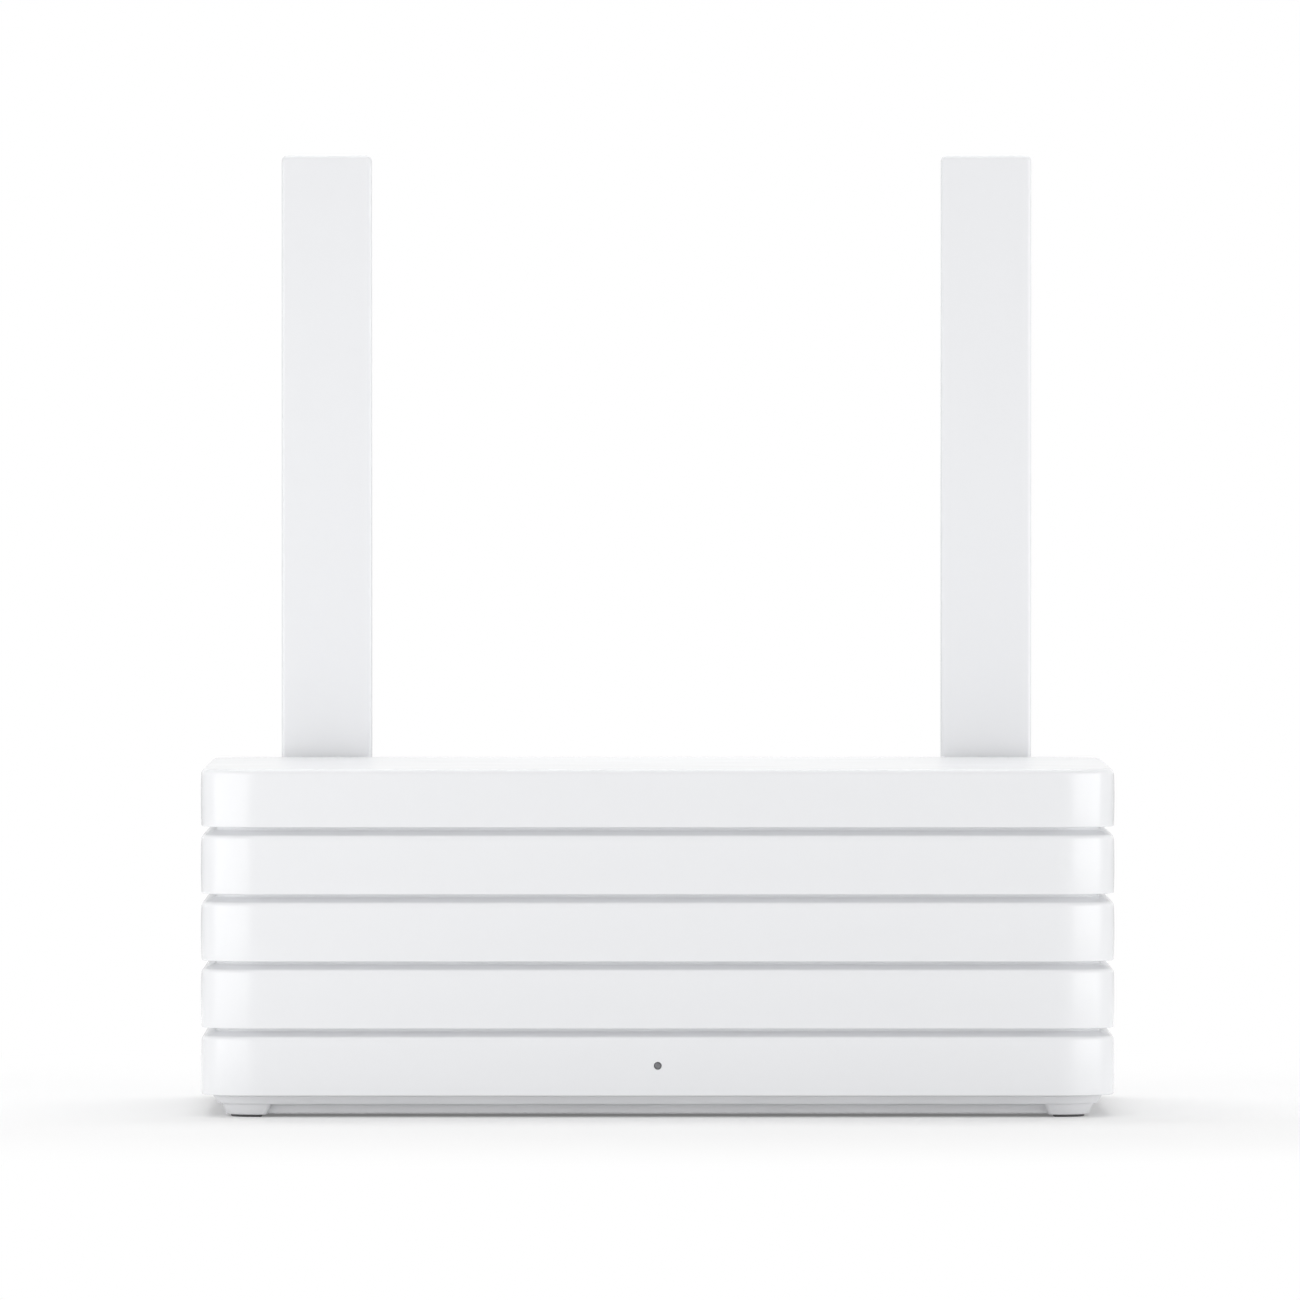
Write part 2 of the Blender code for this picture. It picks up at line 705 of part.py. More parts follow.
def make_status_light():
    """The light pipe from the front face to the lamp at the board's front edge."""
    thick = 1.5 * MM
    shoulder = FRONT_Y + SHELL_WALL + GAP
    end = BOARD_FRONT_Y + 0.2 * MM
    rings = [
        (circle(0, LIGHT_Z, LIGHT_RADIUS, 16), FRONT_Y + 0.4 * MM),
        (circle(0, LIGHT_Z, LIGHT_RADIUS, 16), shoulder),
        (circle(0, LIGHT_Z, thick, 16), shoulder),
        (circle(0, LIGHT_Z, thick, 16), end - 0.5 * MM),
    ]
    part("status_light_pipe", light_smoke(), loft("Y", rings), "housing", 30)
    lamp_low = (-1.6 * MM, BOARD_FRONT_Y + 0.8 * MM, PARTS_LOW)
    lamp_high = (1.6 * MM, BOARD_FRONT_Y + 2.6 * MM, PARTS_LOW + 1.3 * MM)
    part("status_lamp", lamp_yellow(), block(lamp_low, lamp_high), "housing")


def make_board_parts():
    chip_x = -12 * MM
    chip_y = MIDDLE_Y - 4 * MM
    chip_top = PARTS_LOW + 1.4 * MM
    pad_top = chip_top + GAP + 0.6 * MM
    chip = block((chip_x - 9 * MM, chip_y - 9 * MM, PARTS_LOW), (chip_x + 9 * MM, chip_y + 9 * MM, chip_top))
    part("processor_chip", chip_black(), chip, "housing")
    pad_low = (chip_x - 8 * MM, chip_y - 8 * MM, chip_top + GAP)
    part("thermal_pad", pad_pink(), block(pad_low, (chip_x + 8 * MM, chip_y + 8 * MM, pad_top)), "housing")
    make_heatsink(chip_x, chip_y, pad_top + GAP)
    for side, x in (("left", -50 * MM), ("right", 34 * MM)):
        can = rounded(x - 13 * MM, x + 13 * MM, chip_y - 16 * MM, chip_y + 16 * MM, MM, 2)
        smaller = rounded(x - 12.6 * MM, x + 12.6 * MM, chip_y - 15.6 * MM, chip_y + 15.6 * MM, MM, 2)
        rings = [(can, PARTS_LOW), (can, PARTS_LOW + 2.6 * MM), (smaller, PARTS_LOW + 3 * MM)]
        part(f"radio_shield_{side}", steel(), loft("Z", rings), "housing")
    transformer_y = SOCKET_FACE_Y - JACK_DEPTH - 6 * MM
    low = (-14 * MM, transformer_y - 9 * MM, PARTS_LOW)
    part("network_transformer", chip_black(), block(low, (34 * MM, transformer_y, PARTS_LOW + 5 * MM)), "housing")
    capacitor = rod("Z", -38 * MM, transformer_y - 4 * MM, 4 * MM, PARTS_LOW, PARTS_LOW + 11 * MM, 20)
    part("filter_capacitor", cast_aluminium(), capacitor, "housing", 30)


def make_heatsink(x, y, low):
    """A comb of upright fins on a base plate."""
    half = 22 * MM
    fins = 9
    fin = 1.4 * MM
    base = low + 2.5 * MM
    top = low + 12 * MM
    pitch = (2 * half - fin) / (fins - 1)
    outline = [(x + half, low), (x - half, low)]
    for number in range(fins):
        left = x - half + number * pitch
        if number:
            outline.append((left, base))
        outline += [(left, top), (left + fin, top)]
        if number < fins - 1:
            outline.append((left + fin, base))
    part("processor_heatsink", cast_aluminium(), prism("Y", outline, y - 20 * MM, y + 20 * MM), "housing")


# Storage drive


def make_drive_bracket():
    """A folded sheet table that carries the drive over the board."""
    outer = BRACKET_HALF_X
    inner = outer - BRACKET_SHEET
    foot = outer + BRACKET_FOOT
    low = TRAY_FLOOR + GAP
    top = BRACKET_TOP
    right = [(inner, top - BRACKET_SHEET), (inner, low), (foot, low), (foot, low + BRACKET_SHEET)]
    right += [(outer, low + BRACKET_SHEET), (outer, top)]
    left = [(-x, z) for x, z in reversed(right)]
    front = DRIVE_FRONT_Y + 9 * MM
    back = DRIVE_FRONT_Y + DRIVE_WIDTH - 9 * MM
    bracket = part("drive_bracket", steel(), prism("Y", right + left, front, back), "housing")
    middle = (front + back) / 2
    window = block((73 * MM, middle - 9 * MM, 20 * MM), (80 * MM, middle + 9 * MM, 35 * MM))
    openings = []
    for x in (-36 * MM, 0, 36 * MM):
        outline = rounded(x - 12 * MM, x + 12 * MM, middle - 26 * MM, middle + 26 * MM, 4 * MM, 4)
        openings.append(prism("Z", outline, 20 * MM, 35 * MM))
    holes = [rod("Z", x, y, 1.8 * MM, 20 * MM, 35 * MM, 12) for x, y in drive_screw_places()]
    cut(bracket, window, *openings, *holes)


def drive_screw_places():
    middle = DRIVE_FRONT_Y + DRIVE_WIDTH / 2
    for x in (-60 * MM, 60 * MM):
        for y in (middle - 30 * MM, middle + 30 * MM):
            yield x, y


def make_drive():
    half = DRIVE_LENGTH / 2
    back = DRIVE_FRONT_Y + DRIVE_WIDTH
    high = DRIVE_LOW + DRIVE_HEIGHT
    body_top = high - DRIVE_COVER - GAP
    outline = rounded(-half, half, DRIVE_FRONT_Y, back, 3 * MM, 3)
    body = part("drive_body", cast_aluminium(), prism("Z", outline, DRIVE_LOW, body_top), "housing")
    holes = [rod("Z", x, y, 1.6 * MM, DRIVE_LOW - MM, DRIVE_LOW + 7 * MM, 12) for x, y in drive_screw_places()]
    cut(body, *holes)
    lid = rounded(-half + 2 * MM, half - 2 * MM, DRIVE_FRONT_Y + 2 * MM, back - 2 * MM, 4 * MM, 3)
    smaller = rounded(-half + 2.5 * MM, half - 2.5 * MM, DRIVE_FRONT_Y + 2.5 * MM, back - 2.5 * MM, 4 * MM, 3)
    rings = [(lid, high - DRIVE_COVER), (lid, high - 0.4 * MM), (smaller, high)]
    part("drive_cover", steel(), loft("Z", rings), "housing")
    for number, (x, y) in enumerate(drive_screw_places(), 1):
        screw(f"drive_screw_{number}", x, y, BRACKET_TOP - BRACKET_SHEET - GAP, 1, 3 * MM, 1.3 * MM, 6 * MM)


def drive_lead_path(steps):
    """The ribbon's middle line, from the drive's plug down to the board's header, as (x, z)."""
    drop = 28 * MM
    end = 17 * MM
    path = [(LEAD_DROP_X, 37.7 * MM)]
    for i in range(steps + 1):
        t = i / steps
        ease = t * t * (3 - 2 * t)
        path.append((LEAD_DROP_X - (LEAD_DROP_X - HEADER_X) * ease, drop + (end - drop) * t))
    return path


def ribbon_outline(path, thickness):
    """The outline of a ribbon of this thickness along a path."""
    one = []
    other = []
    for i, (u, v) in enumerate(path):
        before = path[max(i - 1, 0)]
        after = path[min(i + 1, len(path) - 1)]
        run_u = after[0] - before[0]
        run_v = after[1] - before[1]
        length = math.hypot(run_u, run_v)
        side_u = -run_v / length * thickness / 2
        side_v = run_u / length * thickness / 2
        one.append((u + side_u, v + side_v))
        other.append((u - side_u, v - side_v))
    return one + other[::-1]


def make_drive_lead():
    middle = DRIVE_FRONT_Y + DRIVE_WIDTH / 2
    half = DRIVE_LENGTH / 2
    plug_half = 8 * MM
    plug_low = (half + GAP, middle - plug_half, 38 * MM)
    plug_high = (half + 6.4 * MM, middle + plug_half, 46 * MM)
    part("drive_plug", lead_black(), block(plug_low, plug_high), "housing")
    lead_half = 6 * MM
    outline = ribbon_outline(drive_lead_path(16), MM)
    part("drive_lead", lead_black(), prism("Y", outline, middle - lead_half, middle + lead_half), "housing")
    header_low = (HEADER_X - 3 * MM, middle - plug_half, PARTS_LOW)
    header_high = (HEADER_X + 3 * MM, middle + plug_half, 16.7 * MM)
    part("drive_header", socket_plastic(), block(header_low, header_high), "housing")


# Fan


def make_fan():
    half = FAN_SIZE / 2
    outline = rounded(-half, half, FAN_Z - half, FAN_Z + half, 3 * MM, 4)
    frame = part("fan_frame", chip_black(), prism("Y", outline, FAN_FRONT_Y, FAN_BACK_Y), "housing")
    mounting = 16 * MM
    holes = []
    for x in (-mounting, mounting):
        for z in (-mounting, mounting):
            holes.append(rod("Y", x, FAN_Z + z, 1.6 * MM, FAN_FRONT_Y - MM, FAN_BACK_Y + MM, 10))
    cut(frame, rod("Y", 0, FAN_Z, FAN_RING, FAN_FRONT_Y - MM, FAN_BACK_Y + MM, 32), *holes)
    spoke_depth = 1.6 * MM
    spoke_back = FAN_FRONT_Y + spoke_depth
    spoke = 1.2 * MM
    reach = FAN_RING + 0.3 * MM
    add(frame, prism("Y", cross_outline(0, FAN_Z, spoke, reach), FAN_FRONT_Y + 0.1 * MM, spoke_back))
    add(frame, rod("Y", 0, FAN_Z, HUB_RADIUS, FAN_FRONT_Y + 0.05 * MM, spoke_back + 0.05 * MM, 24))
    hub_low = spoke_back + 2 * GAP
    hub_high = FAN_BACK_Y - 0.6 * MM
    rotor = part("fan_rotor", chip_black(), rod("Y", 0, FAN_Z, HUB_RADIUS, hub_low, hub_high, 28), "fan", 30)
    blades = []
    count = 7
    for number in range(count):
        blades.append(fan_blade(math.tau * number / count, hub_low + 0.4 * MM, hub_high - 0.4 * MM))
    add(rotor, *blades)


def fan_blade(angle, low, high):
    """A pitched blade that leans round the hub from its front edge to its back edge."""
    lean = 0.42
    half = 0.5 * MM
    root = HUB_RADIUS - 1.2 * MM
    points = []
    for y, turn in ((low, angle), (high, angle + lean)):
        out = (math.cos(turn), math.sin(turn))
        across = (-math.sin(turn), math.cos(turn))
        for reach, offset in ((root, -half), (BLADE_REACH, -half), (BLADE_REACH, half), (root, half)):
            x = out[0] * reach + across[0] * offset
            z = out[1] * reach + across[1] * offset
            points.append((x, y, FAN_Z + z))
    faces = ((0, 1, 2, 3), (4, 5, 6, 7), (0, 1, 5, 4), (1, 2, 6, 5), (2, 3, 7, 6), (3, 0, 4, 7))
    return Shape(tuple(points), faces)


# Antennas


def across(side_sign, low, high):
    """Two distances from an antenna's middle, measured away from the body's middle, as sorted X values."""
    middle = side_sign * ANTENNA_X
    return sorted((middle + side_sign * low, middle + side_sign * high))


def make_hinge(side, sign):
    """The bracket on the rear panel, with a lug each side of the antenna's knuckle, and the hollow pin."""
    middle = sign * ANTENNA_X
    half = BLADE_WIDTH / 2
    plate_back = PANEL_FACE_Y + GAP + 1.2 * MM
    lug_radius = 3.5 * MM
    lug_inner = KNUCKLE_HALF + GAP
    low_z = AXIS_Z - 8 * MM
    high_z = AXIS_Z + lug_radius
    plate_low = (middle - half, PANEL_FACE_Y + GAP, low_z)
    bracket = part(
        f"{side}_hinge_bracket", satin_white(), block(plate_low, (middle + half, plate_back, high_z)), "housing", 30
    )
    side_view = [(plate_back - 0.6 * MM, AXIS_Z - 7 * MM)]
    side_view += arc(AXIS_Y, AXIS_Z, lug_radius, -60, 90, 8)
    side_view += [(plate_back - 0.6 * MM, high_z - 0.05 * MM)]
    side_view = [(y, min(z, high_z - 0.05 * MM)) for y, z in side_view]
    lugs = []
    for start in (-half + 0.1 * MM, lug_inner):
        end = start + half - lug_inner - 0.1 * MM
        lugs.append(prism("X", side_view, middle + start, middle + end))
    add(bracket, *lugs)
    spigot_x = middle + sign * LEAD_CHANNEL
    add(bracket, rod("Y", spigot_x, AXIS_Z, SPIGOT_RADIUS, PLATE_INNER_Y, plate_back - GAP, 12))
    bore_low, bore_high = across(sign, -8.3 * MM, 9.2 * MM)
    cut(bracket, rod("X", AXIS_Y, AXIS_Z, PIN_BORE, bore_low, bore_high, 24))
    cut(bracket, rod("Y", spigot_x, AXIS_Z, 0.95 * MM, PLATE_INNER_Y - MM, AXIS_Y, 12))

    pin_low, pin_high = across(sign, -8 * MM, 6.4 * MM)
    pin = part(
        f"{side}_hinge_pin", steel(), rod("X", AXIS_Y, AXIS_Z, PIN_RADIUS, pin_low, pin_high, 24),
        f"{side}_antenna", 40,
    )
    cut(pin, rod("X", AXIS_Y, AXIS_Z, PIN_HOLE, pin_low - MM, pin_high + MM, 12))
    slot = 2.4 * MM
    cut(pin, block((middle - slot, AXIS_Y - 3 * MM, AXIS_Z), (middle + slot, AXIS_Y + 3 * MM, AXIS_Z + 3 * MM)))


def blade_outline(middle, inset, low):
    return rounded(
        middle - BLADE_WIDTH / 2 + inset,
        middle + BLADE_WIDTH / 2 - inset,
        low + inset,
        ANTENNA_TOP - inset,
        1.2 * MM - min(inset, MM),
        3,
    )


def blade_half(middle, seam, face):
    """One half of the blade's case, from the seam to its outer face, whose edge is chamfered."""
    inward = 1 if seam > face else -1
    rings = [
        (blade_outline(middle, 0, BLADE_START), seam),
        (blade_outline(middle, 0, BLADE_START), face + inward * BLADE_EDGE),
        (blade_outline(middle, 0.3 * BLADE_EDGE, BLADE_START), face + inward * 0.3 * BLADE_EDGE),
        (blade_outline(middle, BLADE_EDGE, BLADE_START), face),
    ]
    return loft("Y", rings)


def make_antenna(side, sign):
    """Front and back covers, the radiating board between them and the lead that reaches it."""
    body = f"{side}_antenna"
    middle = sign * ANTENNA_X
    half_thick = BLADE_THICKNESS / 2
    cavity_half = BLADE_WIDTH / 2 - BLADE_WALL
    cavity_low = BLADE_START + 2 * MM
    cavity = rectangle(middle - cavity_half, middle + cavity_half, cavity_low, ANTENNA_TOP - BLADE_WALL)
    lead_channel = rod("Z", middle, AXIS_Y, PIN_HOLE, AXIS_Z, cavity_low + MM, 12)

    front_face = AXIS_Y - half_thick
    front_seam = AXIS_Y - GAP / 2
    front = part(f"{side}_antenna_front_cover", gloss_white(), blade_half(middle, front_seam, front_face), body, 30)
    cut(front, prism("Y", cavity, front_face + BLADE_WALL, front_seam + MM))
    cut(front, lead_channel)

    back_face = AXIS_Y + half_thick
    back_seam = AXIS_Y + GAP / 2
    back = part(f"{side}_antenna_back_cover", gloss_white(), blade_half(middle, back_seam, back_face), body, 30)
    cut(back, prism("Y", cavity, back_seam - MM, back_face - BLADE_WALL))
    neck = [(AXIS_Y + KNUCKLE_RADIUS, BLADE_START + 1.5 * MM), (back_seam + 0.1 * MM, BLADE_START + 1.5 * MM)]
    neck += [(back_seam + 0.1 * MM, BLADE_START - GAP), (AXIS_Y - KNUCKLE_RADIUS, BLADE_START - GAP)]
    neck += arc(AXIS_Y, AXIS_Z, KNUCKLE_RADIUS, 180, 360, 12)
    neck = [(min(y, AXIS_Y + KNUCKLE_RADIUS - 0.05 * MM), z) for y, z in neck]
    add(back, prism("X", neck, middle - KNUCKLE_HALF, middle + KNUCKLE_HALF))
    cut(back, rod("X", AXIS_Y, AXIS_Z, PIN_BORE, middle - 2 * KNUCKLE_HALF, middle + 2 * KNUCKLE_HALF, 24))
    cut(back, lead_channel)

    element_low = AXIS_Z + 16 * MM
    element_half = 7.2 * MM
    thin = 0.4 * MM
    element_high = ANTENNA_TOP - 4 * MM
    low = (middle - element_half, AXIS_Y - thin, element_low)
    high = (middle + element_half, AXIS_Y + thin, element_high)
    part(f"{side}_antenna_element", board_green(), block(low, high), body)

    route = [(sign * 6.1 * MM, 0), (sign * 3.5 * MM, 0)]
    route += [(sign * (LEAD_BEND - u), LEAD_BEND - v) for u, v in arc(0, 0, LEAD_BEND, 90, 0, 6)]
    route += [(0, 8 * MM), (0, element_low - AXIS_Z - GAP)]
    lead_curve(f"{side}_antenna_lead", [(middle + x, AXIS_Y, AXIS_Z + z) for x, z in route], body)


def make_case_lead(side, sign):
    """The lead from the board to the hinge: through the panel, then round into the hollow pin's end."""
    channel_x = sign * (ANTENNA_X + LEAD_CHANNEL)
    rise = [
        (sign * 61 * MM, REAR_Y - 28 * MM, PARTS_LOW),
        (sign * 61 * MM, REAR_Y - 28 * MM, PARTS_LOW + 3 * MM),
        (sign * 63 * MM, REAR_Y - 24 * MM, PARTS_LOW + 8 * MM),
        (sign * 71 * MM, REAR_Y - 16 * MM, AXIS_Z - 1.5 * MM),
        (sign * 79 * MM, REAR_Y - 11.5 * MM, AXIS_Z),
        (channel_x, REAR_Y - 6.5 * MM, AXIS_Z),
        (channel_x, REAR_Y - 3.5 * MM, AXIS_Z),
    ]
    route = smooth_route(rise, 4)
    bend_y = AXIS_Y - LEAD_BEND
    for u, v in arc(0, 0, LEAD_BEND, 0, 90, 4):
        route.append((channel_x - sign * (LEAD_BEND - u), bend_y + v, AXIS_Z))
    lead_curve(f"{side}_case_lead", route, "housing")


def smooth_route(points, steps):
    """A curve through the points, with this many steps between each pair."""
    known = [Vector(point) for point in points]
    ends = [known[0], *known, known[-1]]
    route = []
    for i in range(len(known) - 1):
        before, start, end, after = ends[i : i + 4]
        for step in range(steps):
            t = step / steps
            pull = (end - before) * t + (2 * before - 5 * start + 4 * end - after) * t * t
            pull += (3 * start - before - 3 * end + after) * t**3
            route.append(tuple(start + pull / 2))
    route.append(tuple(known[-1]))
    return route


def lead_curve(name, route, body):
    """A round lead along a route of points."""
    pivot = bpy.data.objects[body]
    curve = bpy.data.curves.new(name, "CURVE")
    curve.dimensions = "3D"
    curve.bevel_depth = LEAD_RADIUS
    curve.bevel_resolution = 1
    curve.use_fill_caps = True
    spline = curve.splines.new("POLY")
    spline.points.add(len(route) - 1)
    for point, position in zip(spline.points, route):
        point.co = (*(Vector(position) - pivot.location), 1)
    made = bpy.data.objects.new(name, curve)
    made.data.materials.append(lead_black())
    bpy.context.scene.collection.objects.link(made)
    made.parent = pivot


def main():
    clear_scene()
    make_pivots()
    make_ribbed_shell()
    make_base_tray()
    make_foot_pads()
    make_case_screws()
    make_rear_panel()
    make_main_board()
    make_network_jacks()
    make_usb_socket()
    make_power_jack()
    make_reset_button()
    make_status_light()
    make_board_parts()
    make_drive_bracket()
    make_drive()
    make_drive_lead()
    make_fan()
    for side, sign in SIDES.items():
        make_hinge(side, sign)
        make_antenna(side, sign)
        make_case_lead(side, sign)


main()
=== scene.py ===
"""Finished looks of a desktop wireless router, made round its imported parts.

Metres, +Z up. X runs across the body and the front faces -Y. Every place is worked out from the
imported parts' own boxes, so that the pieces here sit where the parts do.
"""

import json
import logging
import math
from collections.abc import Callable, Iterable, Iterator
from dataclasses import dataclass, field
from enum import Enum

import bmesh
import bpy
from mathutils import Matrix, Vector


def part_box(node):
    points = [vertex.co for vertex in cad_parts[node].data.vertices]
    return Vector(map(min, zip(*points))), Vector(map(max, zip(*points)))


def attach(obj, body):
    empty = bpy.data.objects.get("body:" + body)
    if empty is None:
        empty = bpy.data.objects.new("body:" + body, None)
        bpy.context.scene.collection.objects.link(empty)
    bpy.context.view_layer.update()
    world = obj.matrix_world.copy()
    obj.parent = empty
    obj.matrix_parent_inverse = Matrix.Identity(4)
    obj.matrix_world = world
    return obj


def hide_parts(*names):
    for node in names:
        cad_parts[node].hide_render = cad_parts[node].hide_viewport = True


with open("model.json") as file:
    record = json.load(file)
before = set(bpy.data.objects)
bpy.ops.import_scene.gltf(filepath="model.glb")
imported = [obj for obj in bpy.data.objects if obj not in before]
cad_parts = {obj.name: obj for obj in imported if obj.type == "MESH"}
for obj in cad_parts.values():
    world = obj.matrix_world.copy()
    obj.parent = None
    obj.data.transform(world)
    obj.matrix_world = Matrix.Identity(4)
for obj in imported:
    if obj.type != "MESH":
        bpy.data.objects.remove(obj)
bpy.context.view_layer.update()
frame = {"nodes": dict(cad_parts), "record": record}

log = logging.getLogger("router")

MM = 0.001
GAP = 0.3 * MM
PAST = 1 * MM  # how far a cutting tool reaches beyond the face that it cuts
CORNER_STEPS = 20
EDGE_STEPS = 3
SMOOTH_ANGLE = math.radians(36)

Outline = list[tuple[float, float]]
Corner = tuple[float, float, float]
Place = tuple[float, float, float]
Color = tuple[float, float, float]
Box = tuple[Vector, Vector]


# Outlines and solids


def arc(u: float, v: float, radius: float, start: float, end: float, steps: int) -> Outline:
    """Gives the points of an arc.

    Args:
        u, v: The arc's centre.
        radius: Its radius.
        start, end: The angles at which it starts and ends, in degrees.
        steps: How many straight pieces it is made of.

    Returns:
        The points, both ends included.
    """
    angles = [math.radians(start + (end - start) * i / steps) for i in range(steps + 1)]
    return [(u + radius * math.cos(a), v + radius * math.sin(a)) for a in angles]


def circle(u: float, v: float, radius: float, steps: int = 32) -> Outline:
    """Gives a closed circle's points, anticlockwise."""
    return arc(u, v, radius, 0, 360, steps)[:-1]


def rounded(low: Iterable[float], high: Iterable[float], radius: float, steps: int = 6) -> Outline:
    """Gives a rectangle with round corners, anticlockwise.

    Args:
        low, high: Two opposite corners, as (u, v).
        radius: The radius of each corner.
        steps: How many straight pieces each corner is made of.

    Returns:
        The closed outline's points.
    """
    low_u, low_v = low
    high_u, high_v = high
    turns = (
        (high_u - radius, high_v - radius, 0),
        (low_u + radius, high_v - radius, 90),
        (low_u + radius, low_v + radius, 180),
        (high_u - radius, low_v + radius, 270),
    )
    points = []
    for u, v, start in turns:
        points += arc(u, v, radius, start, start + 90, steps)
    return points


def filleted(corners: list[Corner], closed: bool = True, steps: int = 4) -> Outline:
    """Rounds the corners of a line of straight runs.

    Args:
        corners: The line's corners, each (u, v, radius).
        closed: Whether the last corner runs back to the first. The ends of an open line stay as they are.
        steps: How many straight pieces each round corner is made of.

    Returns:
        The points of the line.
    """
    points = []
    count = len(corners)
    for i, (u, v, radius) in enumerate(corners):
        is_end = not closed and i in (0, count - 1)
        if radius == 0 or is_end:
            points.append((u, v))
            continue
        corner = Vector((u, v))
        back = (Vector(corners[i - 1][:2]) - corner).normalized()
        ahead = (Vector(corners[(i + 1) % count][:2]) - corner).normalized()
        half = back.angle(ahead) / 2
        centre = corner + (back + ahead).normalized() * (radius / math.sin(half))
        start = corner + back * (radius / math.tan(half)) - centre
        end = corner + ahead * (radius / math.tan(half)) - centre
        turn = start.angle_signed(end)
        first = math.atan2(start.y, start.x)
        for step in range(steps + 1):
            angle = first - turn * step / steps
            points.append((centre.x + radius * math.cos(angle), centre.y + radius * math.sin(angle)))
    return points


def drawn_in(outline: Outline, distance: float) -> Outline:
    """Moves a closed anticlockwise outline inwards, or outwards where the distance is negative."""
    moved = []
    for i, (u, v) in enumerate(outline):
        here = Vector((u, v))
        before = (here - Vector(outline[i - 1])).normalized()
        after = (Vector(outline[(i + 1) % len(outline)]) - here).normalized()
        one = Vector((-before.y, before.x))
        other = Vector((-after.y, after.x))
        point = here + (one + other) * (distance / (1 + one.dot(other)))
        moved.append((point.x, point.y))
    return moved


@dataclass
class Solid:
    """Points and faces of one or more closed shapes."""

    points: list[Place]
    faces: list[tuple[int, ...]]

    def __add__(self, other: "Solid") -> "Solid":
        """Puts two solids side by side in one."""
        shift = len(self.points)
        moved = [tuple(shift + i for i in face) for face in other.faces]
        return Solid(self.points + other.points, self.faces + moved)


def all_of(solids: Iterable[Solid]) -> Solid:
    """Puts several solids side by side in one."""
    return sum(solids, Solid([], []))


def loft(axis: str, rings: list[tuple[Outline, float]]) -> Solid:
    """Joins outlines of equal length into one closed solid.

    Args:
        axis: The axis that the outlines are stacked along, X, Y or Z.
        rings: Each outline with its height along the axis.

    Returns:
        The solid, with a face over each end.
    """
    count = len(rings[0][0])
    points = []
    for outline, height in rings:
        for u, v in outline:
            points.append({"X": (height, u, v), "Y": (u, height, v), "Z": (u, v, height)}[axis])
    faces = [tuple(range(count))]
    for start in range(0, (len(rings) - 1) * count, count):
        for i in range(count):
            j = (i + 1) % count
            faces.append((start + i, start + j, start + count + j, start + count + i))
    faces.append(tuple(range(len(points) - count, len(points))))
    return Solid(points, faces)


def prism(axis: str, outline: Outline, low: float, high: float) -> Solid:
    """Extrudes an outline with sharp ends."""
    return loft(axis, [(outline, low), (outline, high)])


def eased(axis: str, outline: Outline, low: float, high: float, radius: float) -> Solid:
    """Extrudes an outline and rounds over the edges of both ends.

    Args:
        axis: The axis to extrude along.
        outline: The closed anticlockwise outline.
        low, high: The heights of the two ends.
        radius: The radius of the rounded edges.

    Returns:
        The solid.
    """
    rings = []
    for step in range(EDGE_STEPS + 1):
        angle = math.pi / 2 * step / EDGE_STEPS
        inset = radius * (1 - math.sin(angle))
        rings.append((drawn_in(outline, inset), low + radius * (1 - math.cos(angle))))
    rings += [(ring, low + high - height) for ring, height in reversed(rings)]
    return loft(axis, rings)


def block(low: Place, high: Place, edge: float = 0.2 * MM) -> Solid:
    """Makes a box between two corners, with every edge rounded over."""
    outline = rounded(low[:2], high[:2], 1.25 * edge, EDGE_STEPS)
    return eased("Z", outline, low[2], high[2], edge)


def mouth(axis: str, outline: Outline, deep: float, face: float, edge: float) -> Solid:
    """Makes a tool that cuts an outline into a face and rounds the edge it leaves there.

    Args:
        axis: The axis that the hole runs along.
        outline: The hole's closed anticlockwise outline.
        deep: The height at which the hole ends.
        face: The height of the face that it is cut into.
        edge: The radius of the rounded edge at the face.

    Returns:
        The tool.
    """
    way = math.copysign(1, face - deep)
    rings = [(outline, deep)]
    for step in range(EDGE_STEPS + 1):
        angle = math.pi / 2 * step / EDGE_STEPS
        grown = drawn_in(outline, -edge * (1 - math.cos(angle)))
        rings.append((grown, face - way * edge * (1 - math.sin(angle))))
    rings.append((drawn_in(outline, -edge), face + way * PAST))
    return loft(axis, rings)


def turned(axis: str, u: float, v: float, profile: Outline, steps: int = 32) -> Solid:
    """Turns a profile of (radius, height) points round an axis through (u, v)."""
    return loft(axis, [(circle(u, v, radius, steps), height) for radius, height in profile])


# Node graphs


class Wire:
    """One output of a node, on which arithmetic adds Math nodes."""

    def __init__(self, graph: "Graph", socket: bpy.types.NodeSocket) -> None:
        """Keeps the graph and the output."""
        self.graph = graph
        self.socket = socket

    def math(self, operation: str, *values: "Wire | float") -> "Wire":
        """Adds a Math node that works on these values."""
        return self.graph.node("ShaderNodeMath", {"operation": operation}, dict(enumerate(values)))

    def __add__(self, other: "Wire | float") -> "Wire":
        """Adds."""
        return self.math("ADD", self, other)

    def __radd__(self, other: float) -> "Wire":
        """Adds to a number."""
        return self.math("ADD", other, self)

    def __sub__(self, other: "Wire | float") -> "Wire":
        """Takes away."""
        return self.math("SUBTRACT", self, other)

    def __rsub__(self, other: float) -> "Wire":
        """Takes this away from a number."""
        return self.math("SUBTRACT", other, self)

    def __mul__(self, other: "Wire | float") -> "Wire":
        """Multiplies."""
        return self.math("MULTIPLY", self, other)

    def __rmul__(self, other: float) -> "Wire":
        """Multiplies a number."""
        return self.math("MULTIPLY", other, self)

    def between(self, low: float, high: float) -> "Wire":
        """Maps the values from low to high smoothly onto 0 to 1."""
        settings = {"interpolation_type": "SMOOTHSTEP"}
        return self.graph.node("ShaderNodeMapRange", settings, {0: self, 1: low, 2: high, 3: 0.0, 4: 1.0})


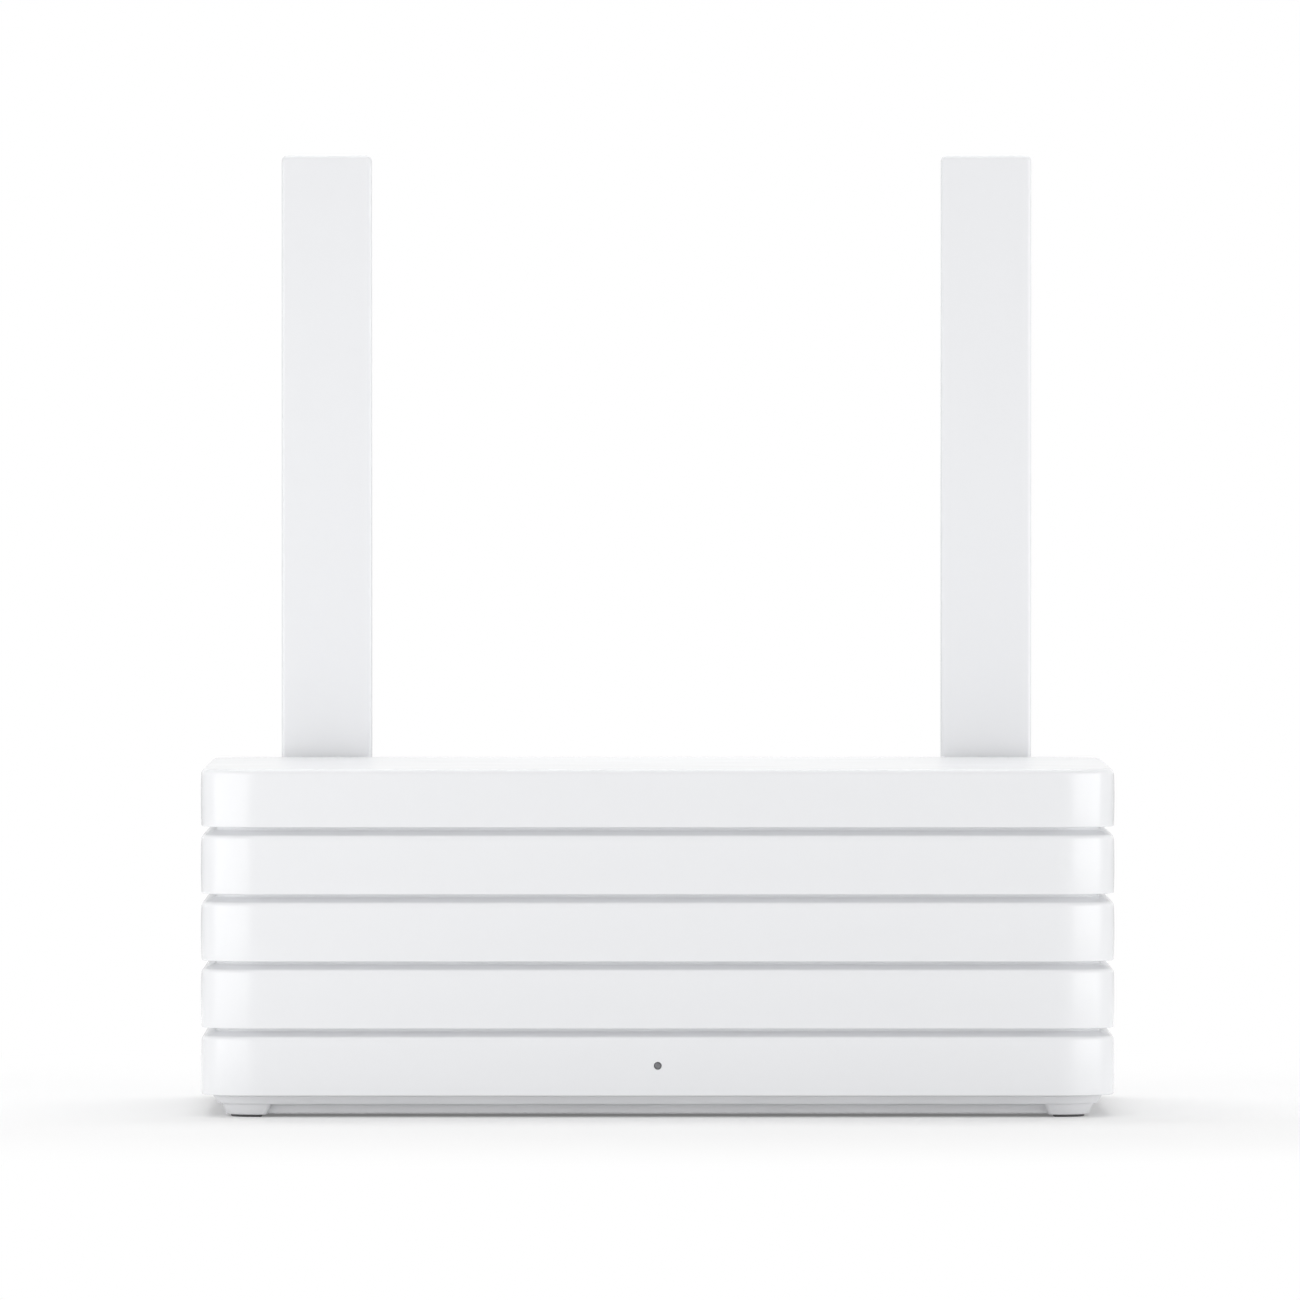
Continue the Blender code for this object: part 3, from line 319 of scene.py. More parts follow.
class Graph:
    """The node tree of a material or of the world."""

    def __init__(self, tree: bpy.types.NodeTree) -> None:
        """Starts on an empty tree."""
        tree.nodes.clear()
        self.tree = tree

    def node(
        self,
        kind: str,
        settings: dict[str, object] | None = None,
        inputs: dict[str | int, object] | None = None,
        output: str | int = 0,
    ) -> Wire:
        """Adds a node.

        Args:
            kind: The node's type.
            settings: Its own properties, set first. A colour ramp's stops are (place, value) pairs.
            inputs: A value or a Wire for each input that is named or numbered.
            output: The output to give back.

        Returns:
            That output.
        """
        made = self.tree.nodes.new(kind)
        for name, value in (settings or {}).items():
            if name == "stops":
                self._set_stops(made.color_ramp, value)
            else:
                setattr(made, name, value)
        for name, value in (inputs or {}).items():
            if isinstance(value, Wire):
                self.tree.links.new(value.socket, made.inputs[name])
            else:
                made.inputs[name].default_value = value
        return Wire(self, made.outputs[output] if made.outputs else None)

    @staticmethod
    def _set_stops(ramp: bpy.types.ColorRamp, stops: list[tuple[float, float]]) -> None:
        """Gives a ramp these grey stops."""
        while len(ramp.elements) < len(stops):
            ramp.elements.new(0.5)
        for element, (place, value) in zip(ramp.elements, stops):
            element.position = place
            element.color = (value, value, value, 1)

    def places(self, stretch: Place = (1, 1, 1)) -> Wire:
        """Gives the surface's own coordinates in metres, stretched along each axis."""
        own = self.node("ShaderNodeTexCoord", output="Object")
        return self.node("ShaderNodeVectorMath", {"operation": "MULTIPLY"}, {0: own, 1: stretch})

    def noise(self, per_metre: float, detail: float = 2.0, stretch: Place = (1, 1, 1)) -> Wire:
        """Gives soft noise from 0 to 1, with this many lumps to a metre."""
        inputs = {"Vector": self.places(stretch), "Scale": per_metre, "Detail": detail}
        return self.node("ShaderNodeTexNoise", None, inputs)

    def cells(self, per_metre: float, stretch: Place = (1, 1, 1)) -> Wire:
        """Gives the distance to the nearest of many scattered points."""
        return self.node("ShaderNodeTexVoronoi", None, {"Vector": self.places(stretch), "Scale": per_metre})

    def blend(self, factor: Wire, one: Color, other: Color) -> Wire:
        """Mixes two colours."""
        inputs = {0: factor, 6: (*one, 1), 7: (*other, 1)}
        return self.node("ShaderNodeMix", {"data_type": "RGBA"}, inputs, output=2)

    def bump(self, height: Wire, depth: float, strength: float = 1.0) -> Wire:
        """Raises the surface by up to this depth where the height is 1."""
        inputs = {"Strength": strength, "Distance": depth, "Height": height}
        return self.node("ShaderNodeBump", None, inputs)


def shade(color: Color, factor: float) -> Color:
    """Makes a colour lighter or darker."""
    return tuple(min(1.0, part * factor) for part in color)


# Finishes


@dataclass(frozen=True)
class Finish:
    """A surface's colour and gloss. Each kind of surface adds its own detail to it."""

    name: str
    color: Color
    roughness: float

    def sockets(self, graph: Graph) -> dict[str, object]:
        """Gives the shader's inputs."""
        raise NotImplementedError

    def material(self) -> bpy.types.Material:
        """Makes the material, once.

        Returns:
            The material, which is the same one each time.
        """
        made = bpy.data.materials.get(self.name)
        if made:
            return made
        made = bpy.data.materials.new(self.name)
        made.use_nodes = True
        graph = Graph(made.node_tree)
        shader = graph.node("ShaderNodeBsdfPrincipled", None, self.sockets(graph))
        graph.node("ShaderNodeOutputMaterial", None, {"Surface": shader})
        return made


@dataclass(frozen=True)
class GlossPlastic(Finish):
    """Polished moulded plastic: faint flow marks, an uneven polish and a very shallow ripple."""

    ripple: float = 0.004 * MM

    def sockets(self, graph: Graph) -> dict[str, object]:
        """Gives the shader's inputs."""
        flow = graph.noise(9, 2, (1, 1, 0.4))
        polish = graph.noise(45, 2)
        ripple = graph.noise(130, 2)
        return {
            "Base Color": graph.blend(flow, shade(self.color, 0.99), shade(self.color, 1.01)),
            "Roughness": self.roughness + 0.05 * polish,
            "Normal": graph.bump(ripple, self.ripple),
            "IOR": 1.5,
        }


@dataclass(frozen=True)
class GrainPlastic(Finish):
    """Moulded plastic with a fine spark-eroded grain."""

    grain: float = 0.012 * MM
    per_metre: float = 2600

    def sockets(self, graph: Graph) -> dict[str, object]:
        """Gives the shader's inputs."""
        grain = graph.noise(self.per_metre, 2)
        patches = graph.noise(30, 3).between(0.3, 0.7)
        tone = graph.blend(patches, shade(self.color, 0.975), shade(self.color, 1.015))
        return {
            "Base Color": tone,
            "Roughness": self.roughness + 0.12 * grain - 0.05 * patches,
            "Normal": graph.bump(grain, self.grain),
            "IOR": 1.5,
        }


@dataclass(frozen=True)
class Rubber(Finish):
    """Soft rubber, dusty in patches, with a pebbled skin."""

    def sockets(self, graph: Graph) -> dict[str, object]:
        """Gives the shader's inputs."""
        pebbles = graph.cells(1800)
        dust = graph.noise(220, 4).between(0.45, 0.75)
        return {
            "Base Color": graph.blend(dust, self.color, shade(self.color, 1.35)),
            "Roughness": self.roughness + 0.12 * dust,
            "Normal": graph.bump(pebbles, 0.03 * MM, 0.6),
        }


@dataclass(frozen=True)
class DrawnMetal(Finish):
    """Metal with fine lines drawn along one axis and cloudy handling marks."""

    lines: Place = (60, 4000, 4000)
    depth: float = 0.004 * MM

    def sockets(self, graph: Graph) -> dict[str, object]:
        """Gives the shader's inputs."""
        lines = graph.noise(1, 3, self.lines)
        clouds = graph.noise(45, 4).between(0.35, 0.75)
        return {
            "Base Color": graph.blend(clouds, shade(self.color, 0.9), shade(self.color, 1.06)),
            "Roughness": self.roughness + 0.1 * lines + 0.1 * clouds,
            "Metallic": 1.0,
            "Normal": graph.bump(lines, self.depth),
        }


@dataclass(frozen=True)
class CastMetal(Finish):
    """Cast metal with a sandy skin."""

    def sockets(self, graph: Graph) -> dict[str, object]:
        """Gives the shader's inputs."""
        sand = graph.noise(1500, 3)
        clouds = graph.noise(70, 3).between(0.3, 0.7)
        return {
            "Base Color": graph.blend(clouds, shade(self.color, 0.88), shade(self.color, 1.05)),
            "Roughness": self.roughness + 0.15 * sand,
            "Metallic": 1.0,
            "Normal": graph.bump(sand, 0.03 * MM),
        }


@dataclass(frozen=True)
class BoardLacquer(Finish):
    """Lacquered circuit board: raised tracks under the lacquer and tinned points."""

    tin: Color = (0.62, 0.62, 0.58)

    def sockets(self, graph: Graph) -> dict[str, object]:
        """Gives the shader's inputs."""
        tracks = graph.node(
            "ShaderNodeTexBrick",
            {"offset": 0.37},
            {"Vector": graph.places(), "Scale": 420.0, "Mortar Size": 0.16, "Mortar Smooth": 0.3},
            output="Fac",
        )
        points = 1 - graph.cells(260).between(0.1, 0.14)
        lacquer = graph.blend(tracks, self.color, shade(self.color, 1.7))
        mixed = {0: points, 6: lacquer, 7: (*self.tin, 1)}
        return {
            "Base Color": graph.node("ShaderNodeMix", {"data_type": "RGBA"}, mixed, output=2),
            "Roughness": self.roughness + 0.1 * graph.noise(500),
            "Metallic": points,
            "Normal": graph.bump(tracks, 0.02 * MM, 0.5),
        }


@dataclass(frozen=True)
class Jacket(Finish):
    """The extruded skin of a lead, with faint marks along and across it."""

    def sockets(self, graph: Graph) -> dict[str, object]:
        """Gives the shader's inputs."""
        marks = graph.noise(700, 3)
        scuffs = graph.noise(90, 4).between(0.5, 0.8)
        return {
            "Base Color": graph.blend(scuffs, self.color, shade(self.color, 1.6)),
            "Roughness": self.roughness + 0.15 * marks,
            "Normal": graph.bump(marks, 0.01 * MM),
        }


@dataclass(frozen=True)
class SmokedLens(Finish):
    """Smoky clear plastic, clouded a little inside."""

    def sockets(self, graph: Graph) -> dict[str, object]:
        """Gives the shader's inputs."""
        haze = graph.noise(1200, 3)
        return {
            "Base Color": graph.blend(haze, shade(self.color, 0.8), shade(self.color, 1.3)),
            "Roughness": self.roughness + 0.1 * haze,
            "Coat Weight": 0.3,
            "IOR": 1.5,
        }


class Slot(Enum):
    """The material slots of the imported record, and one for what it doesn't list."""

    BODY = "body_gloss_white"
    ANTENNA = "antenna_gloss_white"
    SATIN = "satin_white"
    PAD = "pad_rubber"
    SOCKET_BLACK = "socket_black"
    SOCKET_BLUE = "socket_blue"
    SHEET_STEEL = "sheet_steel"
    SCREW_STEEL = "screw_steel"
    BOARD = "board_green"
    CHIP = "chip_black"
    FAN = "fan_black"
    LEAD = "lead_black"
    CAST = "cast_aluminium"
    THERMAL = "thermal_pad"
    SMOKE = "light_smoke"
    LAMP = "lamp_yellow"
    GOLD = ""


WHITE = (0.87, 0.877, 0.893)

FINISHES: dict[Slot, Finish] = {
    Slot.BODY: GlossPlastic("body_gloss", WHITE, 0.2),
    Slot.ANTENNA: GlossPlastic("antenna_gloss", WHITE, 0.22, 0.003 * MM),
    Slot.SATIN: GrainPlastic("satin_shell", (0.78, 0.785, 0.8), 0.4),
    Slot.PAD: Rubber("foot_rubber", (0.12, 0.12, 0.125), 0.78),
    Slot.SOCKET_BLACK: GrainPlastic("socket_black_nylon", (0.025, 0.025, 0.027), 0.38),
    Slot.SOCKET_BLUE: GrainPlastic("socket_blue_nylon", (0.02, 0.13, 0.42), 0.38),
    Slot.SHEET_STEEL: DrawnMetal("plated_sheet", (0.6, 0.61, 0.62), 0.26),
    Slot.SCREW_STEEL: DrawnMetal("screw_steel_bright", (0.55, 0.56, 0.58), 0.24, (900, 900, 900)),
    Slot.BOARD: BoardLacquer("board_lacquer", (0.012, 0.09, 0.04), 0.3),
    Slot.CHIP: GrainPlastic("chip_epoxy", (0.022, 0.022, 0.024), 0.5, 0.01 * MM, 4000),
    Slot.FAN: GrainPlastic("fan_nylon", (0.02, 0.02, 0.021), 0.42),
    Slot.LEAD: Jacket("lead_jacket", (0.025, 0.025, 0.027), 0.42),
    Slot.CAST: CastMetal("cast_alloy", (0.62, 0.63, 0.65), 0.36),
    Slot.THERMAL: Rubber("thermal_rubber", (0.5, 0.28, 0.33), 0.85),
    Slot.SMOKE: SmokedLens("smoked_pipe", (0.2, 0.2, 0.21), 0.18),
    Slot.LAMP: SmokedLens("lamp_phosphor", (0.78, 0.66, 0.25), 0.3),
    Slot.GOLD: DrawnMetal("contact_gold", (0.95, 0.68, 0.3), 0.22, (2500, 300, 2500), 0.002 * MM),
}


# Pieces


def new_object(name: str, solid: Solid) -> bpy.types.Object:
    """Makes a mesh object whose faces point out.

    Args:
        name: The object's name.
        solid: Its points and faces.

    Returns:
        The object, in the scene.
    """
    mesh = bpy.data.meshes.new(name)
    mesh.from_pydata(solid.points, [], solid.faces)
    edited = bmesh.new()
    edited.from_mesh(mesh)
    bmesh.ops.recalc_face_normals(edited, faces=edited.faces)
    edited.to_mesh(mesh)
    edited.free()
    made = bpy.data.objects.new(name, mesh)
    bpy.context.scene.collection.objects.link(made)
    return made


def shaped(target: bpy.types.Object, operation: str, tool: Solid) -> None:
    """Adds a tool's solids to a piece, or cuts them from it, for good.

    Args:
        target: The piece.
        operation: UNION or DIFFERENCE.
        tool: The solids, which stay clear of each other.
    """
    helper = new_object("tool", tool)
    modifier = target.modifiers.new("shape", "BOOLEAN")
    modifier.operation = operation
    modifier.solver = "EXACT"
    modifier.object = helper
    bpy.context.view_layer.update()
    graph = bpy.context.evaluated_depsgraph_get()
    mesh = bpy.data.meshes.new_from_object(target.evaluated_get(graph))
    target.modifiers.clear()
    former = target.data
    target.data = mesh
    mesh.name = target.name
    bpy.data.meshes.remove(former)
    bpy.data.objects.remove(helper)


def dress(piece: bpy.types.Object, slot: Slot) -> None:
    """Gives a piece the finish of a slot."""
    piece.data.materials.clear()
    piece.data.materials.append(FINISHES[slot].material())


class Assembly:
    """A group of pieces that belong together."""

    body = "housing"

    def piece(
        self,
        name: str,
        solid: Solid,
        slot: Slot,
        stands_for: Iterable[str] = (),
        body: str | None = None,
        cuts: Iterable[Solid] = (),
        joins: Iterable[Solid] = (),
    ) -> bpy.types.Object:
        """Makes one finished piece.

        Args:
            name: The piece's name.
            solid: Its main shape.
            slot: The slot whose finish it takes.
            stands_for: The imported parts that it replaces.
            body: The body that it rides on, where that isn't the group's own.
            cuts: Solids cut from it, which stay clear of each other.
            joins: Solids joined to it first, which stay clear of each other.

        Returns:
            The piece.
        """
        made = new_object(name, solid)
        for operation, tools in (("UNION", list(joins)), ("DIFFERENCE", list(cuts))):
            if tools:
                shaped(made, operation, all_of(tools))
        made.data.shade_smooth()
        made.data.set_sharp_from_angle(angle=SMOOTH_ANGLE)
        even = made.modifiers.new("even_normals", "WEIGHTED_NORMAL")
        even.keep_sharp = True
        self.settle(made, slot, stands_for, body)
        return made

    def wire(
        self, name: str, route: list[Place], radius: float, slot: Slot, stands_for: Iterable[str], body: str
    ) -> bpy.types.Object:
        """Makes a round lead along a route.

        Args:
            name: The piece's name.
            route: The points of its middle line.
            radius: Its radius.
            slot: The slot whose finish it takes.
            stands_for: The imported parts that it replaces.
            body: The body that it rides on.

        Returns:
            The piece.
        """
        curve = bpy.data.curves.new(name, "CURVE")
        curve.dimensions = "3D"
        curve.bevel_depth = radius
        curve.bevel_resolution = 4
        curve.use_fill_caps = True
        spline = curve.splines.new("POLY")
        spline.points.add(len(route) - 1)
        for point, place in zip(spline.points, route):
            point.co = (*place, 1)
        made = bpy.data.objects.new(name, curve)
        bpy.context.scene.collection.objects.link(made)
        self.settle(made, slot, stands_for, body)
        return made

    def settle(
        self, made: bpy.types.Object, slot: Slot, stands_for: Iterable[str], body: str | None
    ) -> None:
        """Dresses a piece and sets it on its body."""
        dress(made, slot)
        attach(made, body or self.body)
        if stands_for:
            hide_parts(*stands_for)
        log.info("%s rides on %s", made.name, body or self.body)


def middle_of(box: Box) -> Vector:
    """Gives the middle of a box."""
    return (box[0] + box[1]) / 2


# Case


@dataclass
class Case(Assembly):
    """The ribbed shell, and the plan that the tray under it shares."""

    box: Box = field(default_factory=lambda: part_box("ribbed_shell"))
    corner_radius: float = 13 * MM
    bands: int = 5
    groove_height: float = 1.95 * MM
    groove_depth: float = 3.3 * MM
    ramp_rise: float = 1.3 * MM
    crown: float = 0.15 * MM
    under_edge: float = 0.28 * MM
    upper_edge: float = 1.1 * MM
    top_edge: float = 1.1 * MM
    wall: float = 4.2 * MM
    roof: float = 2.4 * MM
    panel_lip: float = 1.4 * MM
    post_radius: float = 3.5 * MM
    pilot_radius: float = 1.6 * MM
    pilot_top: float = 20 * MM
    light_hole: float = 0.85 * MM

    def plan(self, inset: float, steps: int = CORNER_STEPS) -> Outline:
        """Gives the body's plan, drawn in by this much all round."""
        low, high = self.box
        near = (low.x + inset, low.y + inset)
        return rounded(near, (high.x - inset, high.y - inset), self.corner_radius - inset, steps)

    def section(self) -> Outline:
        """Gives the shell's wall from its ceiling, down inside, round the lower edge and up over the bands.

        Returns:
            The points as (inset, height).
        """
        low, high = self.box[0].z, self.box[1].z
        pitch = (high - low + self.groove_height) / self.bands
        path = [
            (self.wall + 2 * MM, high - self.roof, 0),
            (self.wall, high - self.roof, 1 * MM),
            (self.wall, low, self.under_edge),
            (self.crown, low, self.under_edge),
        ]
        for band in range(1, self.bands):
            foot = low + band * pitch
            top = foot - self.groove_height
            path += self.crowned(foot - pitch, top)
            path += [
                (self.crown, top, self.upper_edge),
                (self.groove_depth, top + self.ramp_rise, 0.3 * MM),
                (self.groove_depth, foot, 0.2 * MM),
                (self.crown, foot, self.under_edge),
            ]
        path += self.crowned(high + self.groove_height - pitch, high)
        path += [(self.crown, high, self.top_edge), (self.top_edge + MM, high, 0)]
        return filleted(path, closed=False)

    def crowned(self, low: float, high: float) -> list[Corner]:
        """Gives the slightly bowed face of a band between two heights, without its ends."""
        middle, half = (low + high) / 2, (high - low) / 2
        places = [middle + half * share for share in (-0.75, -0.5, -0.25, 0, 0.25, 0.5, 0.75)]
        return [(self.crown * ((z - middle) / half) ** 2, z, 0) for z in places]

    def posts(self) -> Iterator[tuple[float, float]]:
        """Gives the place of each screw post, which stands over a case screw."""
        for number in range(1, 5):
            middle = middle_of(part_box(f"case_screw_{number}"))
            yield middle.x, middle.y

    def window(self) -> Solid:
        """Makes the tool that cuts the opening for the rear panel."""
        low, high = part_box("rear_panel")
        rim = self.panel_lip - GAP
        outline = rounded((low.x + rim, low.z + rim), (high.x - rim, high.z - rim), 4 * MM, 8)
        back = self.box[1].y
        return mouth("Y", outline, back - self.wall - PAST, back, 0.4 * MM)

    def build(self) -> None:
        """Makes the shell with its posts, window and light hole."""
        shell = loft("Z", [(self.plan(inset), z) for inset, z in self.section()])
        post_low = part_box("base_tray")[1].z + GAP
        ceiling = self.box[1].z - self.roof / 2
        posts = []
        pilots = []
        for x, y in self.posts():
            posts.append(prism("Z", circle(x, y, self.post_radius, 24), post_low, ceiling))
            pilots.append(prism("Z", circle(x, y, self.pilot_radius, 20), 0, self.pilot_top))
        light = middle_of(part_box("status_light_pipe"))
        front = self.box[0].y
        hole = circle(light.x, light.z, self.light_hole, 32)
        light_cut = mouth("Y", hole, front + self.wall + PAST, front, 0.1 * MM)
        cuts = [self.window(), light_cut, *pilots]
        self.piece("shell", shell, Slot.BODY, ["ribbed_shell"], joins=posts, cuts=cuts)


@dataclass
class BaseTray(Assembly):
    """The tray that closes the case from below, with its feet and their pads."""

    case: Case
    box: Box = field(default_factory=lambda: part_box("base_tray"))
    floor: float = 3.2 * MM
    skirt_low: float = 2.9 * MM
    skirt_top_inset: float = 2.6 * MM
    skirt_foot_inset: float = 3.7 * MM
    foot_inset: float = 4.6 * MM
    pan_inset: float = 7 * MM
    rim_wall: float = 1.6 * MM
    shell_gap: float = 0.06 * MM
    pan_low: float = 0.62 * MM
    foot_taper: float = 0.8 * MM
    foot_edge: float = 0.4 * MM
    foot_corner: float = 1 * MM
    foot_inner_x: float = 84.5 * MM
    foot_inner_y: float = 52 * MM
    pad_inset: float = 2 * MM
    screw_well: float = 3 * MM
    screw_well_top: float = 3 * MM
    screw_shaft: float = 1.6 * MM
    post: float = 4.4 * MM
    board_post: float = 3 * MM
    board_pilot: float = 0.95 * MM
    edge: float = 0.3 * MM
    vent_half: float = 1 * MM
    vent_pitch: float = 7 * MM
    vent_first: float = 12 * MM
    vent_front: float = 8 * MM
    vent_rear: float = 30 * MM
    vents_a_side: int = 6
    rest_half: float = 3 * MM
    rest_depth: float = 2 * MM
    rest_behind_front: float = 16 * MM

    def section(self) -> Outline:
        """Gives the tray's section from the pan's underside round to its floor, as (inset, height)."""
        high = self.box[1].z
        skirt_high = self.case.box[0].z - self.shell_gap
        rim = self.case.wall + 2 * GAP
        return filleted(
            [
                (self.pan_inset + 2 * MM, self.pan_low, 0),
                (self.pan_inset, self.pan_low, 0.6 * MM),
                (self.pan_inset, self.skirt_low, 0.3 * MM),
                (self.skirt_foot_inset, self.skirt_low, 0.3 * MM),
                (self.skirt_top_inset, skirt_high, 0.12 * MM),
                (rim, skirt_high, 0.1 * MM),
                (rim, high, 0.3 * MM),
                (rim + self.rim_wall, high, 0.3 * MM),
                (rim + self.rim_wall, self.floor + 2 * MM, 0),
                (self.pan_inset + self.rim_wall + MM, self.floor, 0),
            ],
            closed=False,
        )

    def foot(self, sign_x: int, sign_y: int, inset: float) -> Outline:
        """Gives a corner foot's plan, which follows the body's round corner.

        Args:
            sign_x, sign_y: Which corner it stands at.
            inset: How far the plan is drawn in.

        Returns:
            The closed outline, anticlockwise.
        """
        low, high = self.case.box
        middle = (low + high) / 2
        reach_x = (high.x - low.x) / 2 - self.foot_inset - inset
        reach_y = (high.y - low.y) / 2 - self.foot_inset - inset
        inner_x = self.foot_inner_x + inset
        inner_y = self.foot_inner_y + inset
        room = reach_x - inner_x - 1.2 * self.foot_corner
        outer = min(self.case.corner_radius - self.foot_inset - inset, room)
        path = [
            (inner_x, inner_y, self.foot_corner),
            (reach_x, inner_y, self.foot_corner),
            (reach_x, reach_y, outer),
            (inner_x, reach_y, self.foot_corner),
        ]
        placed = [(sign_x * x, middle.y + sign_y * y) for x, y in filleted(path, steps=8)]
        return placed if sign_x * sign_y > 0 else placed[::-1]

    def corners(self) -> Iterator[tuple[str, int, int]]:
        """Gives each corner's name, with the signs of its X and of its Y."""
        for side, sign_x in (("left", -1), ("right", 1)):
            for end, sign_y in (("front", -1), ("rear", 1)):
                yield f"{end}_{side}", sign_x, sign_y

    def foot_solid(self, sign_x: int, sign_y: int) -> Solid:
        """Makes one tapered foot with a rounded lower edge."""
        low = self.box[0].z
        rings = []
        for step in range(EDGE_STEPS + 1):
            angle = math.pi / 2 * step / EDGE_STEPS
            inset = self.foot_taper + self.foot_edge * (1 - math.sin(angle))
            rings.append((self.foot(sign_x, sign_y, inset), low + self.foot_edge * (1 - math.cos(angle))))
        top = self.foot(sign_x, sign_y, 0)
        rings += [(top, self.skirt_low - GAP / 2), (top, self.skirt_low + 0.8 * MM)]
        return loft("Z", rings)

    def vents(self) -> Iterator[Solid]:
        """Makes the tools for two groups of slots through the floor."""
        middle = middle_of(self.case.box).y
        for sign in (-1, 1):
            for row in range(self.vents_a_side):
                x = sign * (self.vent_first + self.vent_pitch * row)
                near = (x - self.vent_half, middle - self.vent_front)
                outline = rounded(near, (x + self.vent_half, middle + self.vent_rear), 0.95 * self.vent_half)
                yield mouth("Z", outline, 2 * self.floor, self.pan_low, 0.2 * MM)

    def stud(self, x: float, y: float, radius: float, top: float) -> Solid:
        """Makes a round post that stands on the floor."""
        return eased("Z", circle(x, y, radius), self.floor - MM, top, self.edge)

    def pipe_rest(self) -> Solid:
        """Makes the small wall that the light pipe rests on."""
        near = self.case.box[0].y + self.rest_behind_front
        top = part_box("status_light_pipe")[0].z - GAP
        low = (-self.rest_half, near, self.floor - MM)
        return block(low, (self.rest_half, near + self.rest_depth, top))

    def build(self) -> None:
        """Makes the tray and the four pads."""
        tray = loft("Z", [(self.case.plan(inset), z) for inset, z in self.section()])
        low, high = self.box[0].z, self.box[1].z
        posts = list(self.case.posts())
        board_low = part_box("main_board")[0].z
        screws = [middle_of(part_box(f"board_screw_{number}")) for number in range(1, 5)]
        joins = [self.foot_solid(sign_x, sign_y) for _, sign_x, sign_y in self.corners()]
        joins += [self.stud(x, y, self.post, high - GAP) for x, y in posts]
        joins += [self.stud(screw.x, screw.y, self.board_post, board_low - GAP) for screw in screws]
        joins.append(self.pipe_rest())
        wells = []
        for x, y in posts:
            well = circle(x, y, self.screw_well)
            wells.append(mouth("Z", well, self.screw_well_top, self.pan_low, 0.2 * MM))
        for screw in screws:
            pilot = circle(screw.x, screw.y, self.board_pilot, 16)
            wells.append(prism("Z", pilot, self.floor + MM, 2 * board_low))
        wells += self.vents()
        pad_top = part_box("foot_pad_front_left")[1].z
        for _, sign_x, sign_y in self.corners():
            well = self.foot(sign_x, sign_y, self.pad_inset - GAP)
            wells.append(mouth("Z", well, pad_top + GAP, low, 0.1 * MM))
        shafts = [prism("Z", circle(x, y, self.screw_shaft, 20), 2 * MM, 2 * high) for x, y in posts]
        made = self.piece("base", tray, Slot.SATIN, ["base_tray"], joins=joins, cuts=wells)
        shaped(made, "DIFFERENCE", all_of(shafts))
        for corner, sign_x, sign_y in self.corners():
            pad = eased("Z", self.foot(sign_x, sign_y, self.pad_inset), 0, pad_top, self.edge)
            self.piece(f"pad_{corner}", pad, Slot.PAD, [f"foot_pad_{corner}"])


